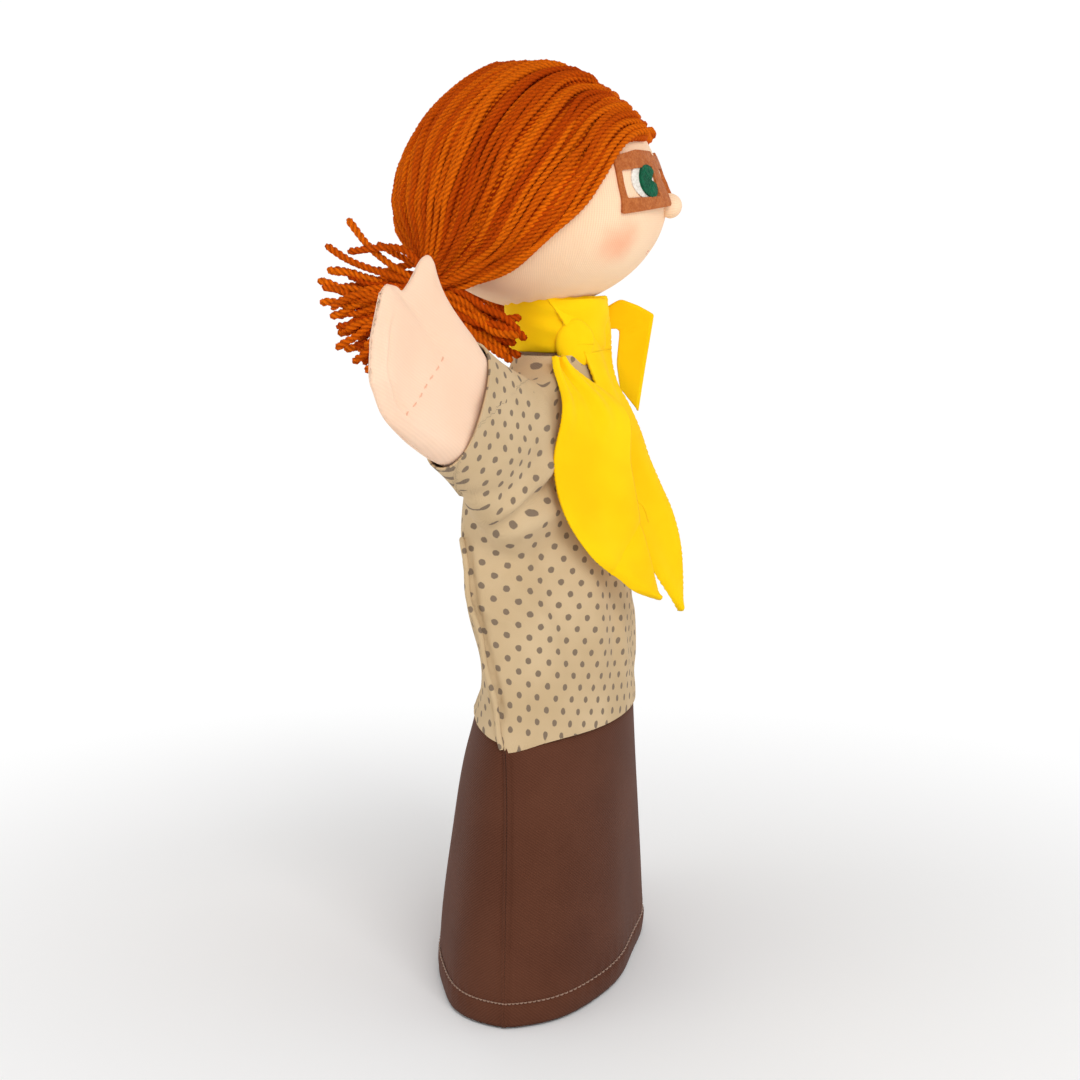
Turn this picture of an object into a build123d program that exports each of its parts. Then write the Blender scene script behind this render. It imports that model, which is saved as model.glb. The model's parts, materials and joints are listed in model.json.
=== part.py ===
from build123d import *
import os

# A cloth glove puppet, worn on one hand. It faces -Y, its right hand is at -X and +Z is up.
# The origin is the middle of the hem, the round opening that the hand goes in through.
# All sizes are in millimetres.

# Cloth and felt
CLOTH = 1.2
FELT = 1.5
THREAD = 0.5

# Skirt and shirt: height, half width, half depth and centre in Y of each oval section
WAIST_Z = 84
COLLAR_Z = 194
SKIRT_SECTIONS = [(0, 72, 34, 0), (45, 64.5, 30.5, -2.2), (WAIST_Z, 57, 26.5, -4.8)]
SHIRT_SECTIONS = [
    (WAIST_Z, 57, 26.5, -4.8),
    (112, 52.5, 25.5, -6),
    (142, 50, 23.5, -5),
    (168, 47, 20, -4.5),
    (186, 41, 14.5, -5),
    (COLLAR_Z, 19, 16.5, -6.7),
]
SEAM_Y = -3
HEM_STITCH_Z = 7

# Neck: a card tube that the finger goes in, in a sleeve of jersey
NECK_Y = -6.7
TUBE_INNER = 9
TUBE_OUTER = 10
NECK_SKIN = 11
TUBE_LOW_Z = 188
TUBE_TOP_Z = 238
NECK_SKIN_LOW_Z = 190

# Head: a stuffed ball, wider than it is high
HEAD_Z = 249.5
HEAD_RADIUS = 41.4
HEAD_HALF_HEIGHT = 36.8
NECK_SOCKET = NECK_SKIN + 0.5
NOSE_RADIUS = 3.4
NOSE_Z = 244
MOUTH_Z = 230.5

# Face pieces of felt, turned out from the middle of the face
EYE_TURN = 25
EYE_Z = 251.3
LENS_WIDTH = 25
LENS_HEIGHT = 17.5
LENS_RIM = 3.2
EYE_HALF_WIDTH = 6.2
EYE_HALF_HEIGHT = 5.2
IRIS_HALF_WIDTH = 4.6
IRIS_HALF_HEIGHT = 4.5

# Hair of yarn: two caps that meet at the middle parting, tied low at the back
HAIR_THICK = 4
HAIRLINE = 229.5
PARTING = 1
TIE = (-28, 29, 219.5)
TIE_RADIUS = 5.5
TIE_HEIGHT = 4
PIGTAIL_HALF_THICK = 5.5
PIGTAIL_X = -31

# Arms: hinge at the shoulder, direction of the arm and the sizes of sleeve and mitt
SHOULDER = Vector(-51, 2.2, 173.7)
ARM = Vector(-0.828, 0.268, 0.492).normalized()
PALM_UP = (Vector(0, 0, 1) - ARM * ARM.Z).normalized()
SLEEVE_LENGTH = 26
SLEEVE_HALF_HEIGHT = 19.8
SHOULDER_HALF_THICK = 12
CUFF_HALF_THICK = 8.5
SHOULDER_CLEARANCE = 21.6
WRIST = 29
MITT_HALF_THICK = 6.5
MITT_WALL = 1.6
STITCHES = 6

# Neckerchief
SCARF_RADIUS = 16.2
SCARF_CLOTH = 1.6
SCARF_LOW_Z = 195
SCARF_TOP_Z = 208
KNOT = (-20.5, -10, 199)
LOOP_X = 12
LOOP_THICK = 2.4
SIDE_TAIL_TURN = 40
FRONT_TAIL_TURN = 8


def oval(section, grow):
    """The filled oval of one section, grown outwards by grow."""
    z, half_width, half_depth, y = section
    return Pos(0, y, z) * Ellipse(half_width + grow, half_depth + grow)


def cloth_tube(sections):
    """A tapering tube of cloth through oval sections, open at both ends."""
    outer = loft([oval(section, 0) for section in sections], ruled=True)
    first, last = sections[0], sections[-1]
    below = (first[0] - 1, *first[1:])
    above = (last[0] + 1, *last[1:])
    inner = loft([oval(section, -CLOTH) for section in [below, *sections, above]], ruled=True)
    return outer - inner


def half_space(front):
    """A block that covers everything before or behind the side seams."""
    size = 400
    y = SEAM_Y - size / 2 if front else SEAM_Y + size / 2
    return Pos(0, y, size / 2) * Box(size, size, size * 2)


def spheroid(grow):
    """The head's ball, grown outwards by grow."""
    radius = HEAD_RADIUS + grow
    return Pos(0, 0, HEAD_Z) * scale(Sphere(1), by=(radius, radius, HEAD_HALF_HEIGHT + grow))


def neck_cylinder(radius, low, top):
    return Pos(0, NECK_Y, (low + top) / 2) * Cylinder(radius, top - low)


def face_prism(turn, outline):
    """An outline on the face, turned from the middle, pushed through the head's surface."""
    turned = Plane.XZ.rotated((0, 0, -turn))
    plane = Plane(origin=(0, 0, EYE_Z), x_dir=turned.x_dir, z_dir=turned.z_dir)
    return extrude(plane * outline, HEAD_RADIUS + 20)


def on_face(turn, outline, low, high):
    """A piece of felt with this outline that lies on the face between two heights."""
    return face_prism(turn, outline) & (spheroid(high) - spheroid(low))


def lens_outline(width, height):
    """A lens of the spectacles, a little wider above than below."""
    top, low = width / 2, width / 2 - 1.5
    corners = [(-top, height / 2), (top, height / 2), (low, -height / 2), (-low, -height / 2)]
    return fillet(make_face(Polyline(*corners, close=True)).vertices(), 1.5)


def arm_plane(along):
    """The plane across the arm at a distance from the shoulder; its x is up the palm."""
    return Plane(origin=SHOULDER + ARM * along, x_dir=PALM_UP, z_dir=ARM)


def mitt_plane():
    """The plane of the flat hand: x along the arm from the wrist, y up the palm."""
    return Plane(origin=SHOULDER + ARM * WRIST, x_dir=ARM, z_dir=ARM.cross(PALM_UP))


def mitt_outline(inset):
    """The mitt with its thumb, in the plane of the hand, moved in by inset."""
    thumb_tip = (33 - inset * 0.2, 30 - inset * 1.3)
    edge = Spline(
        (0, 19 - inset),
        (12, 23.5 - inset),
        (24, 29 - inset * 1.1),
        thumb_tip,
        (40, 24.5 - inset),
        (44, 14.5 - inset),
        (50.5 - inset, 8 - inset),
        (49.5 - inset, -4),
        (43 - inset, -15 + inset * 0.6),
        (30, -19.5 + inset),
        (14, -20 + inset),
        (0, -18.5 + inset),
    )
    closing = Line((0, -18.5 + inset), (0, 19 - inset))
    return make_face([edge, closing])


def skirt_panel(front):
    return cloth_tube(SKIRT_SECTIONS) & half_space(front)


def hem_stitching():
    """One turn of thread that holds the hem up, on the outside of the skirt."""
    low, middle = SKIRT_SECTIONS[0], SKIRT_SECTIONS[1]
    share = HEM_STITCH_Z / middle[0]
    section = [a + (b - a) * share for a, b in zip(low, middle)]
    ring = oval(section, 0.2 + THREAD) - oval(section, 0.2)
    return extrude(ring, THREAD)


def shirt_panel(front):
    """Half of the shirt, round at the armholes so that the arms can turn."""
    panel = cloth_tube(SHIRT_SECTIONS) & half_space(front)
    for side in (-1, 1):
        hinge = Pos(side * abs(SHOULDER.X), 0, SHOULDER.Z) * Rot(90, 0, 0)
        panel -= hinge * Cylinder(SHOULDER_CLEARANCE, 200)
    return panel


def sleeve():
    """The right sleeve, a flattened tube from the shoulder to the cuff."""
    ends = [(0, SHOULDER_HALF_THICK), (SLEEVE_LENGTH, CUFF_HALF_THICK)]
    outer = loft([arm_plane(t) * Ellipse(SLEEVE_HALF_HEIGHT, n) for t, n in ends], ruled=True)
    inside = [(-1, SHOULDER_HALF_THICK), (SLEEVE_LENGTH + 1, CUFF_HALF_THICK)]
    radii = SLEEVE_HALF_HEIGHT - CLOTH
    return outer - loft([arm_plane(t) * Ellipse(radii, n - CLOTH) for t, n in inside], ruled=True)


def mitt_half(palm):
    """Half of the right mitt, hollow for a finger, flat against its other half."""
    side = -1 if palm else 1
    plane = mitt_plane()
    full = extrude(plane * mitt_outline(0), side * MITT_HALF_THICK)
    pocket = extrude(plane * mitt_outline(MITT_WALL + 1.4), side * (MITT_HALF_THICK - MITT_WALL))
    mouth = plane * Pos(0, 0, side * (MITT_HALF_THICK - MITT_WALL) / 2)
    mouth *= Box(4, 30, MITT_HALF_THICK - MITT_WALL)
    return full - pocket - mouth


def mitt_stitching():
    """The short row of hand stitches on the palm that goes through both layers."""
    stitches = []
    for i in range(STITCHES):
        place = mitt_plane() * Pos(22 + i * 1.2, 4 - i * 3.6, -MITT_HALF_THICK - THREAD / 2)
        stitches.append(place * Box(THREAD, 2.2, THREAD))
    return Compound(children=stitches)


def neck_tube():
    return neck_cylinder(TUBE_OUTER, TUBE_LOW_Z, TUBE_TOP_Z) - neck_cylinder(
        TUBE_INNER, TUBE_LOW_Z - 1, TUBE_TOP_Z + 1
    )


def neck_skin():
    top = TUBE_TOP_Z - 2
    hole = neck_cylinder(TUBE_OUTER, NECK_SKIN_LOW_Z - 1, top + 1)
    return neck_cylinder(NECK_SKIN, NECK_SKIN_LOW_Z, top) - hole


def head_skin():
    socket = neck_cylinder(NECK_SOCKET, HEAD_Z - 60, HEAD_Z)
    return spheroid(0) - spheroid(-CLOTH) - socket


def head_filling():
    socket = neck_cylinder(NECK_SOCKET, HEAD_Z - 60, TUBE_TOP_Z + 1)
    return spheroid(-CLOTH) - socket


def nose():
    """A small stuffed ball sewn to the middle of the face."""
    ball = Pos(0, -HEAD_RADIUS - 1.6, NOSE_Z) * Sphere(NOSE_RADIUS)
    return ball - spheroid(0)


def mouth_stitch():
    outline = Pos(0, MOUTH_Z - EYE_Z) * Rectangle(7, 1)
    return on_face(0, outline, 0, THREAD)


def eye_white(side):
    return on_face(side * EYE_TURN, Ellipse(EYE_HALF_WIDTH, EYE_HALF_HEIGHT), 0, 0.8)


def iris(side):
    """The green iris, with the notch of a highlight cut out of it."""
    disc = Ellipse(IRIS_HALF_WIDTH, IRIS_HALF_HEIGHT)
    notch = make_face(Polyline((0, 0.5), (side * -6, 4), (side * -6, 0.5), close=True))
    return on_face(side * EYE_TURN, disc - notch, 0.8, 1.6)


def spectacles():
    """Spectacles in one piece of felt: two lens rims and a bridge."""
    rim = lens_outline(LENS_WIDTH, LENS_HEIGHT)
    rim -= lens_outline(LENS_WIDTH - 2 * LENS_RIM, LENS_HEIGHT - 2 * LENS_RIM)
    right = on_face(EYE_TURN, rim, 0.1, 0.1 + FELT)
    left = on_face(-EYE_TURN, rim, 0.1, 0.1 + FELT)
    bridge = on_face(0, Pos(0, 3) * Rectangle(12, 3.2), 0.1, 0.1 + FELT)
    return right + left + bridge


def behind_hairline(width):
    """A block of this width that covers the head above and behind the sloping hairline."""
    slope = Plane(origin=(0, 0, HAIRLINE), x_dir=(1, 0, 0), z_dir=(0, 1, 1))
    return slope * Pos(0, 0, 75) * Box(width, 300, 150)


def hair_cap():
    """The right half of the yarn on the head, from the parting to the hairline."""
    side = Pos(-50 - PARTING / 2, 0, 0) * behind_hairline(100)
    room = face_prism(EYE_TURN, lens_outline(LENS_WIDTH + 1, LENS_HEIGHT + 1))
    return ((spheroid(HAIR_THICK) - spheroid(0.1)) & side) - room


def parting_stitch():
    """The line of stitching that holds the yarn down along the middle parting."""
    return (spheroid(HAIR_THICK) - spheroid(0.1)) & behind_hairline(PARTING)


def bunch(grow):
    """The place of the band round the right bunch of hair."""
    return Pos(*TIE) * Rot(-35, 0, 0) * Cylinder(TIE_RADIUS + grow, TIE_HEIGHT + 2 * grow)


def hair_tie():
    """The band of yarn tied round the right bunch of hair."""
    return bunch(0)


def pigtail():
    """The right bunch of loose yarn ends, fanned out behind and below its tie."""
    fan = Spline(
        (16, 210),
        (30, 219),
        (46, 224),
        (60, 229),
        (62, 214),
        (50, 201),
        (34, 197),
        (16, 201),
        (5, 205.2),
        (16, 210),
    )
    face = Plane(origin=(PIGTAIL_X, 0, 0), x_dir=(0, 1, 0), z_dir=(1, 0, 0)) * make_face(fan)
    return extrude(face, PIGTAIL_HALF_THICK, both=True) - bunch(0) - spheroid(HAIR_THICK + 0.6)


def scarf_band():
    """The rolled neckerchief round the neck."""
    ring = neck_cylinder(SCARF_RADIUS, SCARF_LOW_Z, SCARF_TOP_Z)
    return ring - neck_cylinder(SCARF_RADIUS - SCARF_CLOTH, SCARF_LOW_Z - 1, SCARF_TOP_Z + 1)


def scarf_knot():
    """The gathered knot on the right side of the neck."""
    ball = Pos(*KNOT) * Sphere(5)
    return ball - neck_cylinder(SCARF_RADIUS, 150, 250)


def scarf_loop():
    """The folded ribbon of the knot that stands out in front of the neck and falls."""
    rising = [(-16, 200), (-16, 208), (-25.4, 215), (-36.9, 210)]
    falling = [(-31.9, 177.5), (-23.9, 189.5), (-25.4, 204.5), (-21, 205)]
    flat = Plane.YZ.offset(LOOP_X) * make_face(Polyline(*rising, *falling, close=True))
    ribbon = extrude(flat, LOOP_THICK / 2, both=True)
    return ribbon - neck_cylinder(SCARF_RADIUS, 150, 250)


def hanging_tail(turn, fall, outline):
    """A tail of cloth that hangs down in front of the shirt.

    turn is how far it faces from the front to the right. fall lists how far in front of
    the origin it hangs at each height, and outline is its shape seen square on.
    """
    front = [(-distance, z) for distance, z in fall]
    back = [(-distance - SCARF_CLOTH, z) for distance, z in reversed(fall)]
    section = Plane.YZ * make_face(Polyline(*front, *back, close=True))
    sheet = extrude(section, 60, both=True)
    shape = extrude(Plane.XZ * make_face(Polyline(*outline, close=True)), 100)
    return Rot(0, 0, -turn) * (sheet & shape)


def scarf_side_tail():
    """The wide leaf of cloth over the right side of the chest."""
    fall = [(28.8, 191), (34.2, 186), (38.8, 168), (42.4, 142), (44.5, 121)]
    outline = [
        (-12, 190),
        (-20, 172),
        (-23, 158),
        (-19, 145),
        (-7, 132),
        (14, 122),
        (9, 145),
        (5, 168),
        (-1, 190),
    ]
    return hanging_tail(SIDE_TAIL_TURN, fall, outline)


def scarf_front_tail():
    """The narrower leaf of cloth down the middle of the chest."""
    fall = [(24.5, 191), (33, 176), (40, 158), (45, 140), (48, 114)]
    outline = [(-3, 190), (-4, 160), (2, 135), (11, 115), (21, 140), (20, 150), (11, 172), (8, 190)]
    return hanging_tail(FRONT_TAIL_TURN, fall, outline)


def left_of(piece):
    """The same piece on the puppet's left side."""
    return mirror(piece, about=Plane.YZ)


def main():
    nodes = {
        "skirt_front_panel": skirt_panel(True),
        "skirt_back_panel": skirt_panel(False),
        "hem_stitching": hem_stitching(),
        "shirt_front_panel": shirt_panel(True),
        "shirt_back_panel": shirt_panel(False),
        "neck_tube": neck_tube(),
        "neck_skin": neck_skin(),
        "head_skin": head_skin(),
        "head_filling": head_filling(),
        "nose": nose(),
        "mouth_stitch": mouth_stitch(),
        "spectacles": spectacles(),
        "parting_stitch": parting_stitch(),
        "scarf_band": scarf_band(),
        "scarf_knot": scarf_knot(),
        "scarf_loop": scarf_loop(),
        "scarf_side_tail": scarf_side_tail(),
        "scarf_front_tail": scarf_front_tail(),
    }
    paired = {
        "sleeve": sleeve(),
        "mitt_palm": mitt_half(True),
        "mitt_back": mitt_half(False),
        "mitt_stitching": mitt_stitching(),
        "eye_white": eye_white(1),
        "iris": iris(1),
        "hair_cap": hair_cap(),
        "hair_tie": hair_tie(),
        "pigtail": pigtail(),
    }
    for name, piece in paired.items():
        nodes["right_" + name] = piece
        nodes["left_" + name] = left_of(piece)

    os.makedirs("parts", exist_ok=True)
    for name, shape in nodes.items():
        export_step(shape, f"parts/{name}.step")


main()
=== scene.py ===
import bpy
import bmesh
import json
import math
import random
import numpy as np
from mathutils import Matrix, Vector

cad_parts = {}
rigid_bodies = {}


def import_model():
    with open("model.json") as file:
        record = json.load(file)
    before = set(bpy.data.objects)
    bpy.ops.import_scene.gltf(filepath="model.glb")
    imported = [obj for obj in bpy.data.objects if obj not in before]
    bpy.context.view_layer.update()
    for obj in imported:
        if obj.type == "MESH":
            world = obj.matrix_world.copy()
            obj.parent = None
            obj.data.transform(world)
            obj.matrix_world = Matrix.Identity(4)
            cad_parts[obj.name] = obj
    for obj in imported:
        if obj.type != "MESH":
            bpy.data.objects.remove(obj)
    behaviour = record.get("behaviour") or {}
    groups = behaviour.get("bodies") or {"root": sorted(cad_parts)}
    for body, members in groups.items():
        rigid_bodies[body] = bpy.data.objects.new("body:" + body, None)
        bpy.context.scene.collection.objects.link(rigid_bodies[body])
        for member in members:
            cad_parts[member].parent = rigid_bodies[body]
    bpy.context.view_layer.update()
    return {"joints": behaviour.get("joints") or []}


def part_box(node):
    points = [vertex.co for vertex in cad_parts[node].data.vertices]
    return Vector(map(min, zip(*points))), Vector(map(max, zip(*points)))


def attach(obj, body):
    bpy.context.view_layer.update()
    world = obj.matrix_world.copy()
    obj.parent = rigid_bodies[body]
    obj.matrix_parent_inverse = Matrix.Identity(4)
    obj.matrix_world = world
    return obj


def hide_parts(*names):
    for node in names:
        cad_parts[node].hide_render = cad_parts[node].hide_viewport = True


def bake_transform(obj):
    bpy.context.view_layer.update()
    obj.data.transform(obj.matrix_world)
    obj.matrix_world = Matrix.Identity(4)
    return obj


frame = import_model()

# A cloth glove puppet: the visible model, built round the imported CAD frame.
# Lengths inside the builders are millimetres; mesh_piece turns them into metres.
MM = 0.001


def box_mm(node):
    """A node's lowest and highest corners in millimetres."""
    low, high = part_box(node)
    return np.array(low) / MM, np.array(high) / MM


# ---------------------------------------------------------------- places from the frame

SKIN_LOW, SKIN_HIGH = box_mm("head_skin")
HEAD = np.array([0, 0, SKIN_HIGH[2]])
HEAD_RADIUS = (SKIN_HIGH[0] - SKIN_LOW[0]) / 2
HEAD_HALF_HEIGHT = HEAD_RADIUS * 36.8 / 41.4
HEAD[2] -= HEAD_HALF_HEIGHT
TUBE_LOW, TUBE_HIGH = box_mm("neck_tube")
NECK_Y = (TUBE_LOW[1] + TUBE_HIGH[1]) / 2
WAIST_Z = box_mm("skirt_front_panel")[1][2]
JOINTS = {joint["name"]: joint for joint in frame["joints"]}
SHOULDER = np.array(JOINTS["right_shoulder_raise"]["pos_m"]) / MM
WRIST = np.array(JOINTS["right_wrist_flex"]["pos_m"]) / MM
TIE = np.array(JOINTS["right_pigtail_swing"]["pos_m"]) / MM
ARM = (WRIST - SHOULDER) / np.linalg.norm(WRIST - SHOULDER)
PALM_UP = np.array(JOINTS["right_wrist_flex"]["axis"])
PALM_BACK = np.cross(ARM, PALM_UP)
MIRROR = np.array([-1, 1, 1])


# ---------------------------------------------------------------- numbers and curves

def smooth(x):
    """0 below 0, 1 above 1 and an even curve between."""
    x = np.clip(x, 0, 1)
    return x * x * (3 - 2 * x)


def along(table, x):
    """Smooth values between the rows of a table whose first column is x."""
    table = np.array(sorted(table), float)
    keys = table[:, 0]
    x = np.clip(np.asarray(x, float), keys[0], keys[-1])
    i = np.clip(np.searchsorted(keys, x) - 1, 0, len(keys) - 2)
    slopes = np.gradient(table[:, 1:], keys, axis=0)
    step = keys[i + 1] - keys[i]
    t = (x - keys[i]) / step
    t, step = t[..., None], step[..., None]
    a, b = table[i, 1:], table[i + 1, 1:]
    sa, sb = slopes[i] * step, slopes[i + 1] * step
    return ((2 * t**3 - 3 * t**2 + 1) * a + (t**3 - 2 * t**2 + t) * sa
            + (3 * t**2 - 2 * t**3) * b + (t**3 - t**2) * sb)


def wander(t, seed, size, waves=(1.3, 2.9, 5.1)):
    """A slow random curve of about this size over t from 0 to 1."""
    rng = random.Random(seed)
    total = 0 * np.asarray(t, float)
    for wave in waves:
        total = total + np.sin(2 * math.pi * (wave * t + rng.random())) / wave
    return total * size


def unit(v):
    return v / np.maximum(np.linalg.norm(v, axis=-1, keepdims=True), 1e-9)


# ---------------------------------------------------------------- meshes

def mesh_piece(name, points, faces, material, uvs=None, smooth_faces=True):
    """A mesh object from points in millimetres; uvs are one pair for each point."""
    mesh = bpy.data.meshes.new(name)
    mesh.from_pydata((np.asarray(points) * MM).tolist(), [], [list(map(int, f)) for f in faces])
    mesh.validate()
    if uvs is not None:
        layer = mesh.uv_layers.new(name="cloth")
        index = np.zeros(len(mesh.loops), int)
        mesh.loops.foreach_get("vertex_index", index)
        layer.data.foreach_set("uv", np.asarray(uvs, np.float32)[index].ravel())
    mesh.polygons.foreach_set("use_smooth", [smooth_faces] * len(mesh.polygons))
    mesh.materials.append(material)
    piece = bpy.data.objects.new(name, mesh)
    bpy.context.scene.collection.objects.link(piece)
    return piece


def grid_faces(rows, columns, close_rows=False, close_columns=False, start=0):
    """Quads over a grid of points, numbered row by row."""
    r = np.arange(rows if close_rows else rows - 1)
    c = np.arange(columns if close_columns else columns - 1)
    r, c = np.meshgrid(r, c, indexing="ij")
    r2, c2 = (r + 1) % rows, (c + 1) % columns
    quads = [r * columns + c, r * columns + c2, r2 * columns + c2, r2 * columns + c]
    return np.stack([q.ravel() for q in quads], 1) + start


def grid_normals(grid, close_columns=False):
    """The normals of a grid of points, rows by columns."""
    down = np.gradient(grid, axis=0)
    if close_columns:
        across = (np.roll(grid, -1, 1) - np.roll(grid, 1, 1)) / 2
    else:
        across = np.gradient(grid, axis=1)
    return unit(np.cross(down, across))


def cloth_grid(name, grid, thick, material, uvs, close_columns=False, swap=False):
    """A shell of cloth this thick behind a grid of points."""
    rows, columns = grid.shape[:2]
    normals = grid_normals(grid, close_columns) * (-1 if swap else 1)
    back = grid - normals * thick
    points = np.concatenate([grid.reshape(-1, 3), back.reshape(-1, 3)])
    front_faces = grid_faces(rows, columns, False, close_columns)
    count = rows * columns
    faces = [front_faces if swap else front_faces[:, ::-1]]
    faces.append((front_faces[:, ::-1] if swap else front_faces) + count)
    edge = []
    last = (rows - 1) * columns
    for c in range(columns if close_columns else columns - 1):
        d = (c + 1) % columns
        edge.append([c, d, count + d, count + c])
        edge.append([last + d, last + c, count + last + c, count + last + d])
    if not close_columns:
        for r in range(rows - 1):
            a, b = r * columns, (r + 1) * columns
            edge.append([b, a, count + a, count + b])
            e, f = a + columns - 1, b + columns - 1
            edge.append([e, f, count + f, count + e])
    edge = np.array(edge)
    faces.append(edge[:, ::-1] if swap else edge)
    flat = np.asarray(uvs).reshape(-1, 2)
    return mesh_piece(name, points, np.concatenate(faces), material, np.concatenate([flat, flat]))


# ---------------------------------------------------------------- materials

def colour(red, green, blue):
    """A colour given in sRGB from 0 to 255, as the linear values that shaders use."""
    values = []
    for part in (red, green, blue):
        part /= 255
        values.append(part / 12.92 if part <= 0.04045 else ((part + 0.055) / 1.055) ** 2.4)
    return (*values, 1)


class Shader:
    """A material with a Principled shader and short ways to add nodes to it."""

    def __init__(self, name, roughness=0.85, sheen=0.0, specular=0.25):
        self.material = bpy.data.materials.new(name)
        self.material.use_nodes = True
        self.tree = self.material.node_tree
        self.main = self.tree.nodes["Principled BSDF"]
        self.main.inputs["Roughness"].default_value = roughness
        self.main.inputs["Sheen Weight"].default_value = sheen
        self.main.inputs["Sheen Roughness"].default_value = 0.4
        self.main.inputs["Specular IOR Level"].default_value = specular

    def put(self, socket, value):
        if isinstance(value, bpy.types.NodeSocket):
            self.tree.links.new(value, socket)
        else:
            socket.default_value = value

    def node(self, kind, output, inputs, **settings):
        node = self.tree.nodes.new(kind)
        for key, value in settings.items():
            setattr(node, key, value)
        for key, value in inputs.items():
            self.put(node.inputs[key], value)
        return node.outputs[output]

    def math(self, operation, *values):
        node = self.tree.nodes.new("ShaderNodeMath")
        node.operation = operation
        for i, value in enumerate(values):
            self.put(node.inputs[i], value)
        return node.outputs[0]

    def uv(self):
        """The two cloth coordinates, in millimetres."""
        place = self.node("ShaderNodeUVMap", 0, {}, uv_map="cloth")
        node = self.tree.nodes.new("ShaderNodeSeparateXYZ")
        self.put(node.inputs[0], place)
        return node.outputs[0], node.outputs[1]

    def place(self):
        """The point on the object, in metres."""
        return self.node("ShaderNodeTexCoord", "Object", {})

    def noise(self, scale, detail=3.0, where=None):
        inputs = {"Scale": scale, "Detail": detail}
        inputs["Vector"] = self.place() if where is None else where
        return self.node("ShaderNodeTexNoise", 0, inputs)

    def mix(self, share, a, b):
        node = self.tree.nodes.new("ShaderNodeMix")
        node.data_type = "RGBA"
        self.put(node.inputs[0], share)
        self.put(node.inputs[6], a)
        self.put(node.inputs[7], b)
        return node.outputs[2]

    def ramp(self, value, low, high):
        """0 where value is at low and 1 where it is at high."""
        inputs = {"Value": value, "From Min": low, "From Max": high}
        return self.node("ShaderNodeMapRange", 0, inputs, interpolation_type="SMOOTHSTEP")

    def wave(self, value, period):
        """A wave from 0 to 1 along a length in millimetres."""
        angle = self.math("MULTIPLY", value, 2 * math.pi / period)
        return self.math("MULTIPLY_ADD", self.math("SINE", angle), 0.5, 0.5)

    def bump(self, height, strength, distance):
        inputs = {"Height": height, "Strength": strength, "Distance": distance}
        return self.node("ShaderNodeBump", 0, inputs)

    def finish(self, tint, height=None, strength=0.5, distance=0.0003):
        self.put(self.main.inputs["Base Color"], tint)
        if height is not None:
            self.put(self.main.inputs["Normal"], self.bump(height, strength, distance))
        return self.material


def plain_weave(s, u, v, period):
    """The height of a plain weave, one thread over and one under."""
    across, up = s.wave(u, period), s.wave(v, period)
    return s.math("ABSOLUTE", s.math("SUBTRACT", across, up))


def twill_material():
    """Brown cotton twill, a little lighter where it is worn."""
    s = Shader("brown_twill", 0.92, 0.06, 0.12)
    u, v = s.uv()
    rib = s.wave(s.math("MULTIPLY_ADD", u, 0.8, v), 1.0)
    thread = s.wave(v, 0.45)
    height = s.math("MULTIPLY_ADD", rib, 0.7, s.math("MULTIPLY", thread, 0.3))
    worn = s.ramp(s.noise(38, 5), 0.35, 0.75)
    tint = s.mix(worn, colour(80, 44, 29), colour(90, 52, 36))
    # painted highlight: the crests of the twill's ribs are lighter
    tint = s.mix(s.math("MULTIPLY", rib, 0.3), tint, colour(110, 68, 50))
    fleck = s.ramp(s.noise(2600, 2), 0.66, 0.8)
    tint = s.mix(s.math("MULTIPLY", fleck, 0.3), tint, colour(150, 108, 84))
    return s.finish(tint, height, 0.5, 0.0002)


def dotted_material():
    """Light cotton printed with small grey-brown dots in staggered rows."""
    s = Shader("dotted_cotton", 0.9, 0.06, 0.15)
    u, v = s.uv()
    turn = math.radians(DOT_TURN)
    a = s.math("MULTIPLY_ADD", u, math.cos(turn), s.math("MULTIPLY", v, math.sin(turn)))
    b = s.math("MULTIPLY_ADD", v, math.cos(turn), s.math("MULTIPLY", u, -math.sin(turn)))
    edge = s.math("MULTIPLY_ADD", s.noise(900, 2), 0.5, -0.25)
    nearest = None
    for shift in (0.0, 0.5):
        parts = []
        for length in (a, b):
            share = s.math("FRACT", s.math("MULTIPLY_ADD", length, 1 / DOT_SPACING, shift))
            parts.append(s.math("MULTIPLY", s.math("SUBTRACT", share, 0.5), DOT_SPACING))
        square = s.math("MULTIPLY_ADD", parts[0], parts[0], s.math("MULTIPLY", parts[1], parts[1]))
        away = s.math("SQRT", square)
        nearest = away if nearest is None else s.math("MINIMUM", nearest, away)
    dot = s.ramp(s.math("ADD", nearest, edge), DOT_RADIUS + 0.12, DOT_RADIUS - 0.12)
    shade = s.ramp(s.noise(45, 4), 0.3, 0.75)
    cloth = s.mix(shade, colour(200, 173, 134), colour(213, 187, 149))
    weave = plain_weave(s, u, v, 0.5)
    cloth = s.mix(s.math("MULTIPLY", weave, 0.28), cloth, colour(184, 156, 116))
    print_colour = s.mix(s.math("MULTIPLY", weave, 0.3), colour(126, 108, 90), colour(160, 140, 116))
    tint = s.mix(dot, cloth, print_colour)
    return s.finish(tint, weave, 0.45, 0.0002)


def jersey_height(s):
    """The ribs of fine jersey, along the cloth's second coordinate."""
    u, v = s.uv()
    rib = s.wave(u, JERSEY_RIB)
    stitch = s.wave(v, 0.6)
    return s.math("MULTIPLY_ADD", rib, 0.75, s.math("MULTIPLY", stitch, 0.25))


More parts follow.
